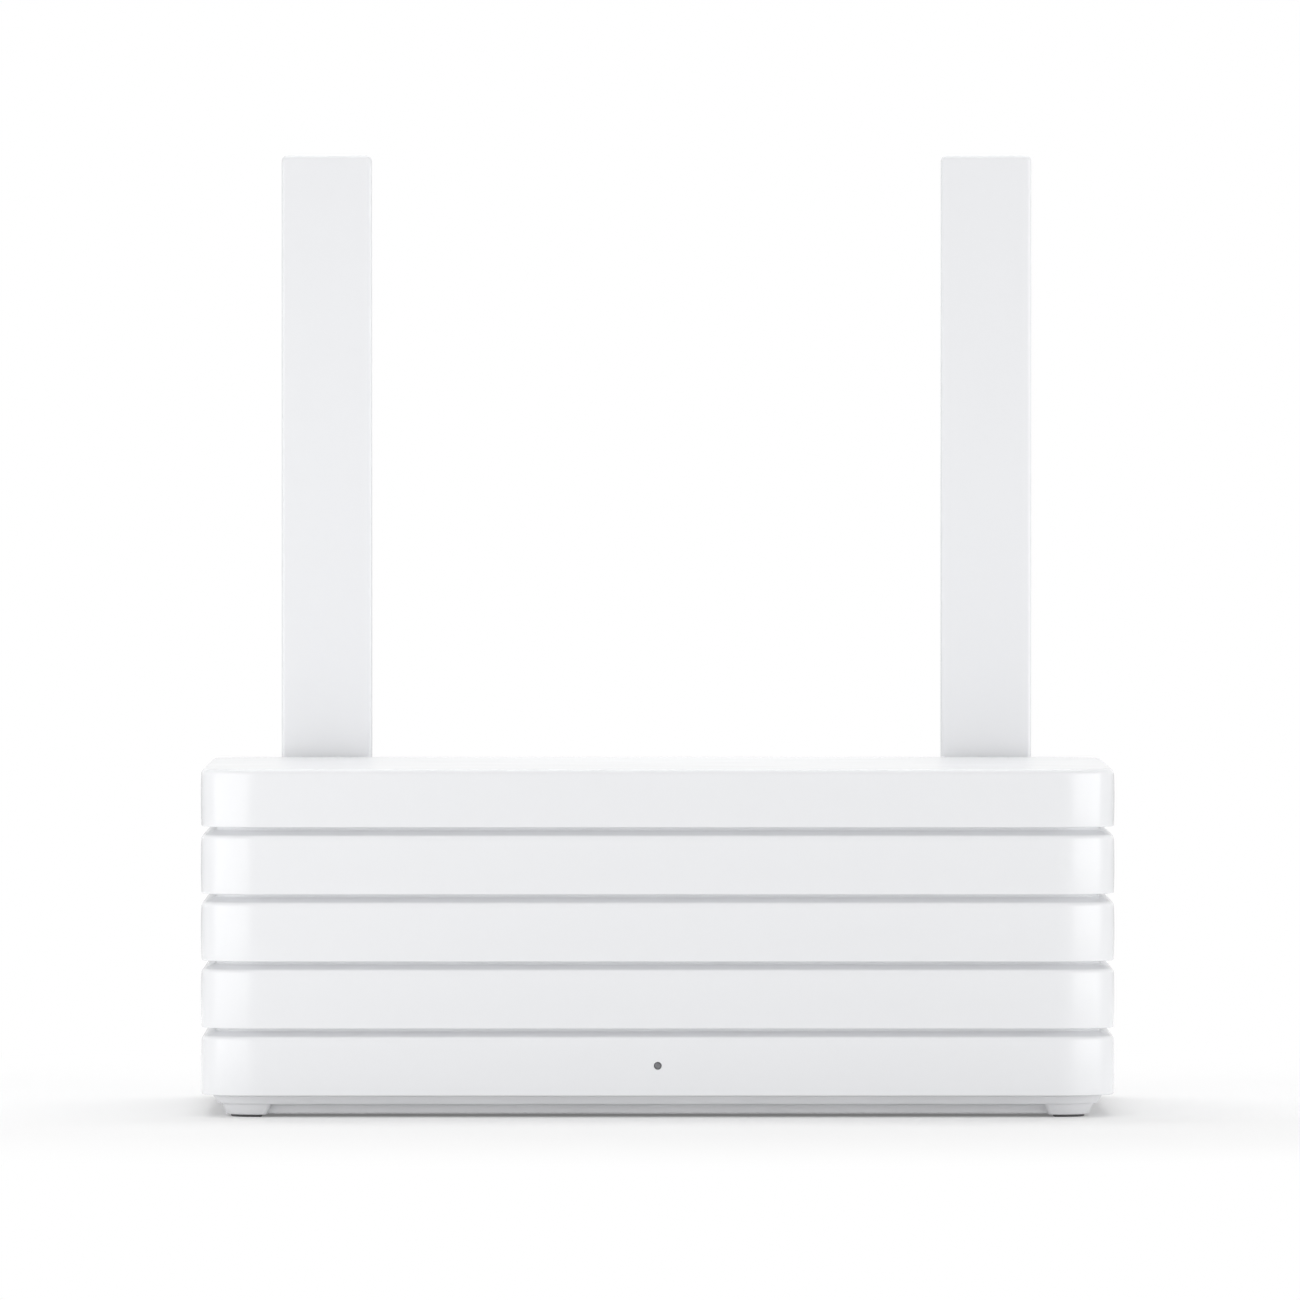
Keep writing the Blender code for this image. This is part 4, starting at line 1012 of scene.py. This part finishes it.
@dataclass
class RearPanel(Assembly):
    """The panel in the case's rear window, with openings for the sockets, the air and the leads."""

    box: Box = field(default_factory=lambda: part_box("rear_panel"))
    lip: float = 1.4 * MM
    lip_thickness: float = 1.2 * MM
    lip_behind_face: float = 3.5 * MM
    plate: float = 2.4 * MM
    pocket: float = 2.2 * MM
    corner: float = 3.7 * MM
    slot_pitch: float = 4 * MM
    slot_half: float = 1 * MM
    room: float = GAP
    edge: float = 0.35 * MM
    socket_edge: float = 0.25 * MM
    button_hole: float = 2.3 * MM
    side_field: float = 41 * MM
    fan_reach: int = 4
    side_reach: int = 3
    fan_slot: float = 18 * MM
    side_slot: float = 14 * MM
    side_lift: float = 2 * MM
    clip_half: float = 12 * MM
    clip_wall: float = 1.5 * MM
    lead_hole: float = 1.8 * MM

    def ring(self, grow: float, y: float) -> tuple[Outline, float]:
        """Gives the panel's outline grown by this much, at a depth."""
        low, high = self.box
        side = self.lip - grow
        outline = rounded(
            (low.x + side, low.z + side), (high.x - side, high.z - side), self.corner + grow, 8
        )
        return outline, y

    def openings(self) -> Iterator[tuple[Outline, float]]:
        """Gives the outline of every opening, with the radius of its edge."""
        for name in ("wan_jack", "lan_jack_1", "lan_jack_2", "usb_socket", "power_jack"):
            low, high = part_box(name)
            corners = (low.x - self.room, low.z - self.room), (high.x + self.room, high.z + self.room)
            yield rounded(*corners, 0.3 * MM, 3), self.socket_edge
        button = middle_of(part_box("reset_button"))
        yield circle(button.x, button.z, self.button_hole), 0.3 * MM
        fan = middle_of(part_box("fan_frame")).z
        yield from self.slots(0, self.fan_reach, self.fan_slot, fan)
        for centre in (-self.side_field, self.side_field):
            yield from self.slots(centre, self.side_reach, self.side_slot, fan + self.side_lift)

    def slots(
        self, centre: float, reach: int, half: float, middle: float
    ) -> Iterator[tuple[Outline, float]]:
        """Gives one field of upright slots.

        Args:
            centre, middle: The field's middle, across and up.
            reach: How many slots it has on each side of the middle one.
            half: Half of a slot's height.

        Yields:
            Each slot's outline, with the radius of its edge.
        """
        for step in range(-reach, reach + 1):
            x = centre + step * self.slot_pitch
            corners = (x - self.slot_half, middle - half), (x + self.slot_half, middle + half)
            yield rounded(*corners, 0.95 * self.slot_half), self.edge

    def build(self) -> None:
        """Makes the panel."""
        low, high = self.box
        face = high.y
        inner = face - self.plate
        lip_back = low.y + self.lip_thickness
        edge = 0.4 * MM
        rings = [self.ring(-edge * (1 - math.cos(a)), face - edge * (1 - math.sin(a)))
                 for a in (math.pi / 2, math.pi / 3, math.pi / 6, 0)]
        rings += [self.ring(0, lip_back), self.ring(self.lip, lip_back), self.ring(self.lip, low.y)]
        rings += [self.ring(-self.pocket, low.y), self.ring(-self.pocket, inner)]
        fan_low, fan_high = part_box("fan_frame")
        clips = []
        for near, way in ((fan_low.x - GAP, -1), (fan_high.x + GAP, 1)):
            start, end = sorted((near, near + way * self.clip_wall))
            middle = (fan_low.z + fan_high.z) / 2
            clip_low = (start, fan_low.y, middle - self.clip_half)
            clips.append(block(clip_low, (end, inner + MM, middle + self.clip_half)))
        cuts = [mouth("Y", outline, inner - PAST, face, radius) for outline, radius in self.openings()]
        for side in ("left", "right"):
            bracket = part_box(f"{side}_hinge_bracket")
            way = math.copysign(1, bracket[0].x)
            x = middle_of(bracket).x + way * 8.2 * MM
            z = bracket[1].z - 3.5 * MM
            cuts.append(prism("Y", circle(x, z, self.lead_hole), inner - PAST, face + PAST))
        self.piece("panel", loft("Y", rings), Slot.SATIN, ["rear_panel"], joins=clips, cuts=cuts)


# Sockets and controls


@dataclass
class NetworkJack(Assembly):
    """A network socket with its spring contacts and two small lamps."""

    node: str
    slot: Slot
    mouth_half: float = 5.9 * MM
    mouth_low: float = 3 * MM
    mouth_height: float = 8.1 * MM
    latch_half: float = 3.1 * MM
    tab_half: float = 1.7 * MM
    depth: float = 14 * MM
    contacts: int = 8
    pitch: float = 1.02 * MM
    lamp_apart: float = 5.6 * MM
    lamp_below_top: float = 1.2 * MM
    lamp_half_x: float = 1.3 * MM
    lamp_half_z: float = 0.7 * MM

    def mouth_outline(self, x: float, z: float) -> Outline:
        """Gives the stepped mouth that the plug and its latch go into."""
        top = z + self.mouth_height
        step = top + 1.2 * MM
        roof = top + 2 * MM
        small = 0.25 * MM
        right = [
            (x + self.mouth_half, z, small),
            (x + self.mouth_half, top, small),
            (x + self.latch_half, top, small),
            (x + self.latch_half, step, small),
            (x + self.tab_half, step, small),
            (x + self.tab_half, roof, small),
        ]
        left = [(2 * x - u, v, radius) for u, v, radius in reversed(right)]
        return filleted(right + left, steps=3)

    def contact(self, x: float, z: float, back: float) -> Solid:
        """Makes one spring contact, which rises from the mouth's floor towards the rear."""
        half = 0.2 * MM
        thick = 0.25 * MM
        path = [
            (back - 1.5 * MM, z + 0.35 * MM),
            (back - 3.2 * MM, z + 0.35 * MM),
            (back - 4.2 * MM, z + 0.9 * MM),
            (back - 9.2 * MM, z + 3.4 * MM),
            (back - 9.9 * MM, z + 3.2 * MM),
        ]
        outline = path + [(y, height - thick) for y, height in reversed(path)]
        return prism("X", outline, x - half, x + half)

    def build(self) -> None:
        """Makes the socket, its contacts and its lamps."""
        low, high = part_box(self.node)
        x = (low.x + high.x) / 2
        outline = rounded((low.x, low.z), (high.x, high.z), 0.5 * MM, 4)
        shell = eased("Y", outline, low.y, high.y, 0.3 * MM)
        z = low.z + self.mouth_low
        opening = mouth("Y", self.mouth_outline(x, z), high.y - self.depth, high.y, 0.15 * MM)
        lamp_z = high.z - self.lamp_below_top
        lamps = []
        windows = []
        for lamp_x in (x - self.lamp_apart, x + self.lamp_apart):
            lamp_low = (lamp_x - self.lamp_half_x, lamp_z - self.lamp_half_z)
            lamp_high = (lamp_x + self.lamp_half_x, lamp_z + self.lamp_half_z)
            window = rounded(lamp_low, lamp_high, 0.2 * MM, 3)
            windows.append(prism("Y", window, high.y - 1 * MM, high.y + PAST))
            lens = drawn_in(window, 0.06 * MM)
            lamps.append(eased("Y", lens, high.y - 0.9 * MM, high.y - 0.08 * MM, 0.12 * MM))
        self.piece(f"{self.node}_body", shell, self.slot, [self.node], cuts=[opening, *windows])
        span = (self.contacts - 1) * self.pitch
        springs = [self.contact(x - span / 2 + i * self.pitch, z, high.y) for i in range(self.contacts)]
        self.piece(f"{self.node}_contacts", all_of(springs), Slot.GOLD)
        self.piece(f"{self.node}_lamps", all_of(lamps), Slot.LAMP)


@dataclass
class UsbSocket(Assembly):
    """A USB socket: a folded steel shell with spring windows, and a tongue with contacts."""

    wall: float = 0.5 * MM
    strips: int = 4
    strip_pitch: float = 2.3 * MM
    strip_half: float = 0.55 * MM

    def build(self) -> None:
        """Makes the shell, the tongue and its contacts."""
        low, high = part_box("usb_socket")
        outline = rounded((low.x, low.z), (high.x, high.z), 0.7 * MM, 6)
        inside = drawn_in(outline, self.wall)
        back = low.y + 2 * MM
        cuts = [mouth("Y", inside, back, high.y, 0.22 * MM)]
        solid = eased("Y", outline, low.y, high.y, 0.15 * MM)
        shell = self.piece("usb_shell", solid, Slot.SHEET_STEEL, ["usb_socket"], cuts=cuts)
        springs = []
        for x in (low.x + 3.6 * MM, high.x - 3.6 * MM):
            spring = rounded((x - 0.9 * MM, high.y - 7 * MM), (x + 0.9 * MM, high.y - 3 * MM), 0.3 * MM, 3)
            springs.append(prism("Z", spring, high.z - 0.7 * self.wall, high.z + PAST))
            springs.append(prism("Z", spring, low.z - PAST, low.z + 0.7 * self.wall))
        shaped(shell, "DIFFERENCE", all_of(springs))
        tongue_low, tongue_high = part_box("usb_tongue")
        tongue = block(tuple(tongue_low), tuple(tongue_high), 0.25 * MM)
        self.piece("usb_tongue_bar", tongue, Slot.SOCKET_BLUE, ["usb_tongue"])
        strips = []
        first = middle_of((tongue_low, tongue_high)).x - (self.strips - 1) / 2 * self.strip_pitch
        for step in range(self.strips):
            x = first + step * self.strip_pitch
            strip_low = (x - self.strip_half, tongue_low.y + 2 * MM, tongue_low.z - 0.12 * MM)
            strip_high = (x + self.strip_half, tongue_high.y - 0.8 * MM, tongue_low.z - 0.02 * MM)
            strips.append(block(strip_low, strip_high, 0.04 * MM))
        self.piece("usb_contacts", all_of(strips), Slot.GOLD)


@dataclass
class PowerJack(Assembly):
    """The power inlet: a block with a round bore, and its centre pin."""

    bore: float = 3.2 * MM

    def build(self) -> None:
        """Makes the block and the pin."""
        low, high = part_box("power_jack")
        pin_low, pin_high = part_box("power_jack_pin")
        axis = middle_of((pin_low, pin_high))
        outline = rounded((low.x, low.z), (high.x, high.z), 0.5 * MM, 4)
        cuts = [mouth("Y", circle(axis.x, axis.z, self.bore, 40), pin_low.y - GAP, high.y, 0.35 * MM)]
        solid = eased("Y", outline, low.y, high.y, 0.3 * MM)
        self.piece("power_inlet", solid, Slot.SOCKET_BLACK, ["power_jack"], cuts=cuts)
        radius = (pin_high.x - pin_low.x) / 2
        profile = [(radius, pin_low.y), *arc(0, pin_high.y - radius, radius, 0, 84, 6)]
        self.piece("power_pin", turned("Y", axis.x, axis.z, profile), Slot.SCREW_STEEL, ["power_jack_pin"])


@dataclass
class ResetButton(Assembly):
    """The reset button, with a dished cap, and the lug that presses the switch."""

    body: str = "reset"
    radius: float = 2 * MM
    flange_radius: float = 2.9 * MM
    stem_radius: float = 1.2 * MM
    flange: float = 1.2 * MM
    stem: float = 4 * MM

    def build(self) -> None:
        """Makes the button."""
        low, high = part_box("reset_button")
        middle = middle_of((low, high))
        flange_front = low.y + self.stem
        flange_back = flange_front + self.flange
        path = [
            (0.3 * MM, high.y - 0.2 * MM, 0),
            (self.radius - 0.6 * MM, high.y - 0.02 * MM, 0.2 * MM),
            (self.radius, high.y, 0.35 * MM),
            (self.radius, flange_back, 0),
            (self.flange_radius, flange_back, 0.15 * MM),
            (self.flange_radius, flange_front, 0.15 * MM),
            (self.stem_radius, flange_front, 0),
            (self.stem_radius, low.y, 0.3 * MM),
            (0.5 * self.stem_radius, low.y, 0),
        ]
        button = turned("Y", middle.x, middle.z, filleted(path, closed=False))
        self.piece("reset_cap", button, Slot.SATIN, ["reset_button"])


@dataclass
class StatusLight(Assembly):
    """The smoked light pipe behind the small hole in the front."""

    tip_radius: float = 0.78 * MM

    def build(self) -> None:
        """Makes the pipe."""
        low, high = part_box("status_light_pipe")
        middle = middle_of((low, high))
        thick = (high.x - low.x) / 2
        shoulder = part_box("ribbed_shell")[0].y + 4.5 * MM
        path = [
            (0.1 * MM, low.y, 0),
            (self.tip_radius, low.y, 0.25 * MM),
            (self.tip_radius, shoulder, 0),
            (thick, shoulder, 0.3 * MM),
            (thick, high.y, 0.3 * MM),
            (0.3 * MM, high.y, 0),
        ]
        pipe = turned("Y", middle.x, middle.z, filleted(path, closed=False))
        self.piece("light_pipe", pipe, Slot.SMOKE, ["status_light_pipe"])


# Fan


@dataclass
class Fan(Assembly):
    """The cooling fan: a frame with struts, and a rotor with curved blades."""

    box: Box = field(default_factory=lambda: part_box("fan_frame"))
    ring: float = 18.8 * MM
    hub: float = 9.5 * MM
    strut: float = 1.6 * MM
    strut_half: float = 1.2 * MM
    blades: int = 7
    blade_reach: float = 18 * MM
    blade_half: float = 0.4 * MM
    blade_rows: int = 6
    blade_columns: int = 5
    lean: float = 0.62
    tip_turn: float = 0.1
    screw_reach: float = 0.8
    screw_hole: float = 1.6 * MM

    def blade(self, number: int, low: float, high: float) -> Solid:
        """Makes one curved blade.

        Args:
            number: Which blade it is.
            low, high: The depths of its front and back edges.

        Returns:
            The blade, whose root lies inside the hub.
        """
        middle = middle_of(self.box)
        start = math.tau * number / self.blades
        root = self.hub - 1 * MM
        across, along = self.blade_rows, self.blade_columns
        rings = []
        for i in range(across + 1):
            share = i / across
            reach = root + (self.blade_reach - root) * share
            line = []
            for side in (-1, 1):
                order = range(along + 1) if side < 0 else range(along, -1, -1)
                for j in order:
                    chord = j / along
                    turn = start + self.lean * chord**1.3 + self.tip_turn * share
                    bow = self.blade_half * side * (1 - share / 2)
                    y = low + (high - low) * chord
                    line.append((turn + bow / reach, y))
            rings.append((reach, line))
        points = []
        for reach, line in rings:
            for turn, y in line:
                points.append((middle.x + reach * math.cos(turn), y, middle.z + reach * math.sin(turn)))
        count = len(rings[0][1])
        faces = [tuple(range(count)), tuple(range(len(points) - count, len(points)))]
        for first in range(0, across * count, count):
            for i in range(count):
                j = (i + 1) % count
                faces.append((first + i, first + j, first + count + j, first + count + i))
        return Solid(points, faces)

    def build(self) -> None:
        """Makes the frame and the rotor."""
        low, high = self.box
        middle = middle_of(self.box)
        half = (high.x - low.x) / 2
        outline = rounded((low.x, low.z), (high.x, high.z), 3 * MM, 8)
        cuts = [mouth("Y", circle(middle.x, middle.z, self.ring, 64), low.y - PAST, high.y, 0.6 * MM)]
        apart = self.screw_reach * half
        for x in (middle.x - apart, middle.x + apart):
            for z in (middle.z - apart, middle.z + apart):
                cuts.append(prism("Y", circle(x, z, self.screw_hole, 20), low.y - PAST, high.y + PAST))
        solid = eased("Y", outline, low.y, high.y, 0.4 * MM)
        made = self.piece("fan_housing", solid, Slot.FAN, ["fan_frame"], cuts=cuts)
        back = low.y + self.strut
        reach = self.ring + 0.3 * MM
        bar_half = self.strut_half
        bars = [
            rounded((middle.x - x, middle.z - z), (middle.x + x, middle.z + z), 0.2 * MM, 2)
            for x, z in ((reach, bar_half), (bar_half, reach))
        ]
        for bar in (*bars, circle(middle.x, middle.z, self.hub)):
            shaped(made, "UNION", prism("Y", bar, low.y + 0.1 * MM, back))
        rotor_low, rotor_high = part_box("fan_rotor")
        profile = filleted(
            [
                (0.5 * MM, rotor_low.y, 0),
                (self.hub, rotor_low.y, 0.4 * MM),
                (self.hub, rotor_high.y, 0.8 * MM),
                (0.5 * MM, rotor_high.y, 0),
            ],
            closed=False,
        )
        hub = turned("Y", middle.x, middle.z, profile, 48)
        blade_low = rotor_low.y + 0.5 * MM
        blades = [self.blade(i, blade_low, rotor_high.y - 0.5 * MM) for i in range(self.blades)]
        self.piece("fan_wheel", hub, Slot.FAN, ["fan_rotor"], body="fan", joins=blades)


# Antennas


@dataclass
class Antenna(Assembly):
    """One folding antenna with its hinge: bracket, pin, two covers and the leads."""

    side: str
    wall: float = 1.4 * MM
    edge: float = 0.9 * MM
    corner: float = 1.3 * MM
    seam: float = 0.12 * MM
    knuckle_half: float = 4 * MM
    bore: float = 2.3 * MM
    lug_radius: float = 3.5 * MM
    channel: float = 8.2 * MM
    lead_bend: float = 1.8 * MM
    lead_radius: float = 0.5 * MM

    def __post_init__(self) -> None:
        """Works out the hinge's axis and the blade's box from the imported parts."""
        self.body = f"{self.side}_antenna"
        self.way = -1 if self.side == "left" else 1
        pin = middle_of(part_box(f"{self.side}_hinge_pin"))
        low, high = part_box(f"{self.side}_antenna_front_cover")
        self.middle = (low.x + high.x) / 2
        self.half = (high.x - low.x) / 2
        self.blade_low = low.z
        self.blade_top = high.z
        self.thick_half = pin.y - low.y
        self.axis_y = pin.y
        self.axis_z = pin.z

    def outline(self) -> Outline:
        """Gives the blade's outline from the front, as (x, z)."""
        low = (self.middle - self.half, self.blade_low)
        return rounded(low, (self.middle + self.half, self.blade_top), self.corner, 6)

    def cover(self, way: int) -> Solid:
        """Makes half of the blade's case, from the seam out to its rounded face.

        Args:
            way: -1 for the front half and 1 for the back half.

        Returns:
            The solid, without its hollow.
        """
        outline = self.outline()
        face = self.axis_y + way * self.thick_half
        rings = [
            (drawn_in(outline, 0.15 * MM), self.axis_y + way * self.seam / 2),
            (outline, self.axis_y + way * (self.seam / 2 + 0.15 * MM)),
        ]
        steps = 6
        for step in range(steps + 1):
            angle = math.pi / 2 * step / steps
            inset = self.edge * (1 - math.cos(angle))
            rings.append((drawn_in(outline, inset), face - way * self.edge * (1 - math.sin(angle))))
        return loft("Y", rings)

    def hollow(self, way: int) -> Solid:
        """Makes the tool that hollows out one cover."""
        low = (self.middle - self.half + self.wall, self.blade_low + 2 * MM)
        high = (self.middle + self.half - self.wall, self.blade_top - self.wall)
        deep = self.axis_y + way * (self.thick_half - self.wall)
        return prism("Y", rounded(low, high, 0.6 * MM, 4), *sorted((deep, self.axis_y - way * PAST)))

    def knuckle(self) -> Solid:
        """Makes the round knuckle under the blade, which turns on the pin."""
        reach = self.thick_half - 0.03 * MM
        top = self.blade_low + 1.5 * MM
        near = self.axis_y + self.seam
        under = self.blade_low - GAP
        neck = [(self.axis_y + reach, top), (near, top), (near, under), (self.axis_y - reach, under)]
        neck += arc(self.axis_y, self.axis_z, reach, 180, 360, 24)
        return prism("X", neck, self.middle - self.knuckle_half, self.middle + self.knuckle_half)

    def make_blade(self) -> None:
        """Makes both covers of the blade."""
        channel = prism("Z", circle(self.middle, self.axis_y, MM, 16), self.axis_z, self.blade_low + 3 * MM)
        node = f"{self.side}_antenna_front_cover"
        cuts = [self.hollow(-1)]
        front = self.piece(f"{self.side}_blade_front", self.cover(-1), Slot.ANTENNA, [node], cuts=cuts)
        shaped(front, "DIFFERENCE", channel)
        node = f"{self.side}_antenna_back_cover"
        cuts = [self.hollow(1)]
        back = self.piece(f"{self.side}_blade_back", self.cover(1), Slot.ANTENNA, [node], cuts=cuts)
        shaped(back, "UNION", self.knuckle())
        bore_half = 2 * self.knuckle_half
        bore = circle(self.axis_y, self.axis_z, self.bore, 32)
        shaped(back, "DIFFERENCE", prism("X", bore, self.middle - bore_half, self.middle + bore_half))
        shaped(back, "DIFFERENCE", channel)

    def make_bracket(self) -> None:
        """Makes the bracket on the rear panel, with a lug at each side of the knuckle."""
        node = f"{self.side}_hinge_bracket"
        low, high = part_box(node)
        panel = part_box("rear_panel")
        plate_low = panel[1].y + GAP / 3
        plate_back = panel[1].y + GAP + 1.2 * MM
        lug_top = self.axis_z + self.lug_radius
        outline = rounded((low.x, low.z), (high.x, high.z), 1 * MM, 5)
        plate = eased("Y", outline, plate_low, plate_back, 0.35 * MM)
        side_view = [(plate_back - 0.6 * MM, self.axis_z - 7 * MM)]
        side_view += arc(self.axis_y, self.axis_z, self.lug_radius - 0.02 * MM, -60, 90, 20)
        side_view += [(plate_back - 0.6 * MM, lug_top - 0.02 * MM)]
        inner = self.knuckle_half + GAP
        lugs = []
        for start in (self.middle - self.half + 0.1 * MM, self.middle + inner):
            end = start + self.half - inner - 0.1 * MM
            lugs.append(eased("X", side_view, start, end, 0.3 * MM))
        lead_x = self.middle + self.way * self.channel
        spigot = prism("Y", circle(lead_x, self.axis_z, 1.5 * MM), low.y, plate_back - GAP)
        joins = [*lugs, spigot]
        made = self.piece(f"{self.side}_bracket", plate, Slot.SATIN, [node], body="housing", joins=joins)
        start, end = sorted((self.middle - self.way * 8.3 * MM, self.middle + self.way * 9.2 * MM))
        shaped(made, "DIFFERENCE", prism("X", circle(self.axis_y, self.axis_z, self.bore), start, end))
        lead_hole = circle(lead_x, self.axis_z, 0.95 * MM, 16)
        shaped(made, "DIFFERENCE", prism("Y", lead_hole, low.y - PAST, self.axis_y))

    def make_pin(self) -> None:
        """Makes the hollow pin, slotted where the lead turns up into the blade."""
        node = f"{self.side}_hinge_pin"
        low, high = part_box(node)
        radius = (high.z - low.z) / 2
        pin = eased("X", circle(self.axis_y, self.axis_z, radius, 32), low.x, high.x, 0.3 * MM)
        bore = prism("X", circle(self.axis_y, self.axis_z, MM, 20), low.x - PAST, high.x + PAST)
        made = self.piece(f"{self.side}_pin", pin, Slot.SCREW_STEEL, [node], cuts=[bore])
        slot_low = (self.middle - 2.4 * MM, self.axis_y - 3 * MM, self.axis_z)
        slot_high = (self.middle + 2.4 * MM, self.axis_y + 3 * MM, self.axis_z + 3 * MM)
        shaped(made, "DIFFERENCE", block(slot_low, slot_high))

    def make_leads(self) -> None:
        """Makes the lead inside the blade."""
        node = f"{self.side}_antenna_lead"
        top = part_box(node)[1].z
        bend = self.lead_bend
        route = [(self.way * 6.1 * MM, 0), (self.way * 3.5 * MM, 0)]
        route += [(self.way * (bend - u), bend - v) for u, v in arc(0, 0, bend, 90, 0, 10)]
        places = [(self.middle + x, self.axis_y, self.axis_z + z) for x, z in route]
        places += [(self.middle, self.axis_y, self.axis_z + 8 * MM), (self.middle, self.axis_y, top)]
        self.wire(f"{self.side}_blade_lead", places, self.lead_radius, Slot.LEAD, [node], self.body)

    def build(self) -> None:
        """Makes the whole antenna."""
        self.make_blade()
        self.make_bracket()
        self.make_pin()
        self.make_leads()


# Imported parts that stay


class Insides:
    """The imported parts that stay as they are, and take the finish of their own slot."""

    def build(self) -> None:
        """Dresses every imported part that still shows."""
        slots = {row["node"]: row["material_slot"] for row in frame["record"]["subparts"]}
        for name, node in frame["nodes"].items():
            if not node.hide_render:
                node.data.materials.clear()
                node.data.materials.append(FINISHES[Slot(slots[name])].material())
                log.info("%s stays, in %s", name, slots[name])


# Studio


@dataclass
class Lamp:
    """A soft box that faces the object."""

    name: str
    place: Place
    aim: Place
    width: float
    height: float
    power: float
    mirrored: bool = True

    def build(self) -> None:
        """Hangs the lamp out of the camera's sight and, unless it is mirrored, of every reflection."""
        light = bpy.data.lights.new(self.name, "AREA")
        light.shape = "RECTANGLE"
        light.size = self.width
        light.size_y = self.height
        light.energy = self.power
        made = bpy.data.objects.new(self.name, light)
        made.location = self.place
        made.rotation_euler = (Vector(self.aim) - Vector(self.place)).to_track_quat("-Z", "Y").to_euler()
        made.visible_camera = False
        made.visible_glossy = self.mirrored
        bpy.context.scene.collection.objects.link(made)


@dataclass
class Studio:
    """A white floor, a white surround, soft boxes and the camera."""

    surround: float = 0.34
    reflected: float = 0.93
    left_power: float = 1.1
    right_power: float = 2.8
    fill_power: float = 2.1
    top_power: float = 3.9
    back_power: float = 2.6
    over_power: float = 1.65
    floor_tone: float = 0.95
    glow_near: float = 0.18
    glow_start: float = 0.14
    glow_end: float = 0.36
    camera_distance: float = 4.5
    camera_height: float = 0.167
    camera_side: float = -0.0093
    aim_side: float = -0.0017
    aim_height: float = 0.1022
    lens: float = 571.0
    sensor: float = 36.0

    def make_surround(self) -> None:
        """Makes the world: plain white where it is seen, and dimmer as a light."""
        world = bpy.data.worlds.new("surround")
        bpy.context.scene.world = world
        world.use_nodes = True
        graph = Graph(world.node_tree)
        seen = graph.node("ShaderNodeLightPath", output="Is Camera Ray")
        through = graph.node("ShaderNodeLightPath", output="Is Transmission Ray")
        mirrored = graph.node("ShaderNodeLightPath", output="Is Glossy Ray")
        level = self.surround + (1 - self.surround) * seen.math("MAXIMUM", seen, through)
        level = level.math("MAXIMUM", level, self.reflected * mirrored)
        light = graph.node("ShaderNodeBackground", None, {"Color": (1, 1, 1, 1), "Strength": level})
        graph.node("ShaderNodeOutputWorld", None, {"Surface": light})

    def make_floor(self) -> None:
        """Makes the floor, which takes the object's shadow near it and is plain white further out."""
        half = 30.0
        corners = [(-half, -half, 0), (half, -half, 0), (half, half, 0), (-half, half, 0)]
        floor = new_object("floor", Solid(corners, [(0, 1, 2, 3)]))
        material = bpy.data.materials.new("floor_white")
        material.use_nodes = True
        graph = Graph(material.node_tree)
        place = graph.node("ShaderNodeTexCoord", output="Object")
        reach = graph.node("ShaderNodeVectorMath", {"operation": "LENGTH"}, {0: place}, output="Value")
        seen = graph.node("ShaderNodeLightPath", output="Is Camera Ray")
        far = reach.between(self.glow_start, self.glow_end)
        share = seen * (self.glow_near + (1 - self.glow_near) * far)
        tone = (self.floor_tone, self.floor_tone, self.floor_tone, 1)
        matt = graph.node("ShaderNodeBsdfDiffuse", None, {"Color": tone})
        glow = graph.node("ShaderNodeEmission", None, {"Color": (1, 1, 1, 1), "Strength": 1.0})
        mixed = graph.node("ShaderNodeMixShader", None, {0: share, 1: matt, 2: glow})
        graph.node("ShaderNodeOutputMaterial", None, {"Surface": mixed})
        floor.data.materials.append(material)

    def make_camera(self) -> None:
        """Sets the camera in front of the object, low and far off."""
        camera = bpy.data.cameras.new("camera")
        camera.lens = self.lens
        camera.sensor_width = self.sensor
        camera.clip_end = 100
        made = bpy.data.objects.new("camera", camera)
        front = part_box("ribbed_shell")[0].y
        made.location = (self.camera_side, front - self.camera_distance, self.camera_height)
        aim = Vector((self.aim_side, front, self.aim_height)) - made.location
        made.rotation_euler = aim.to_track_quat("-Z", "Y").to_euler()
        bpy.context.scene.collection.objects.link(made)
        bpy.context.scene.camera = made

    def build(self) -> None:
        """Sets up the studio."""
        bpy.context.scene.view_settings.view_transform = "Standard"
        self.make_surround()
        self.make_floor()
        lamps = (
            Lamp("left_box", (-0.483, -0.293, 0.12), (-0.093, -0.068, 0.1), 0.75, 0.24, self.left_power),
            Lamp("right_box", (0.824, -0.393, 0.16), (0.093, -0.068, 0.1), 1.0, 0.32, self.right_power),
            Lamp("fill_box", (0, -1.6, 0.1), (0, 0, 0.05), 2.4, 0.2, self.fill_power, mirrored=False),
            Lamp("top_box", (0, 0.32, 0.9), (0, 0, 0), 0.9, 0.5, self.top_power),
            Lamp("over_box", (0, -0.45, 0.95), (0, 0, 0.04), 1.0, 0.45, self.over_power),
            Lamp("back_box", (0, 0.8, 0.55), (0, 0, 0), 1.6, 0.5, self.back_power, mirrored=False),
        )
        for lamp in lamps:
            lamp.build()
        self.make_camera()


def main() -> None:
    """Builds every piece, then the studio."""
    logging.basicConfig(level=logging.INFO, format="%(message)s")
    case = Case()
    groups = [
        case,
        BaseTray(case),
        RearPanel(),
        NetworkJack("wan_jack", Slot.SOCKET_BLUE),
        NetworkJack("lan_jack_1", Slot.SOCKET_BLACK),
        NetworkJack("lan_jack_2", Slot.SOCKET_BLACK),
        UsbSocket(),
        PowerJack(),
        ResetButton(),
        StatusLight(),
        Fan(),
        Antenna("left"),
        Antenna("right"),
        Insides(),
        Studio(),
    ]
    for group in groups:
        group.build()


if __name__ == "__main__":
    main()
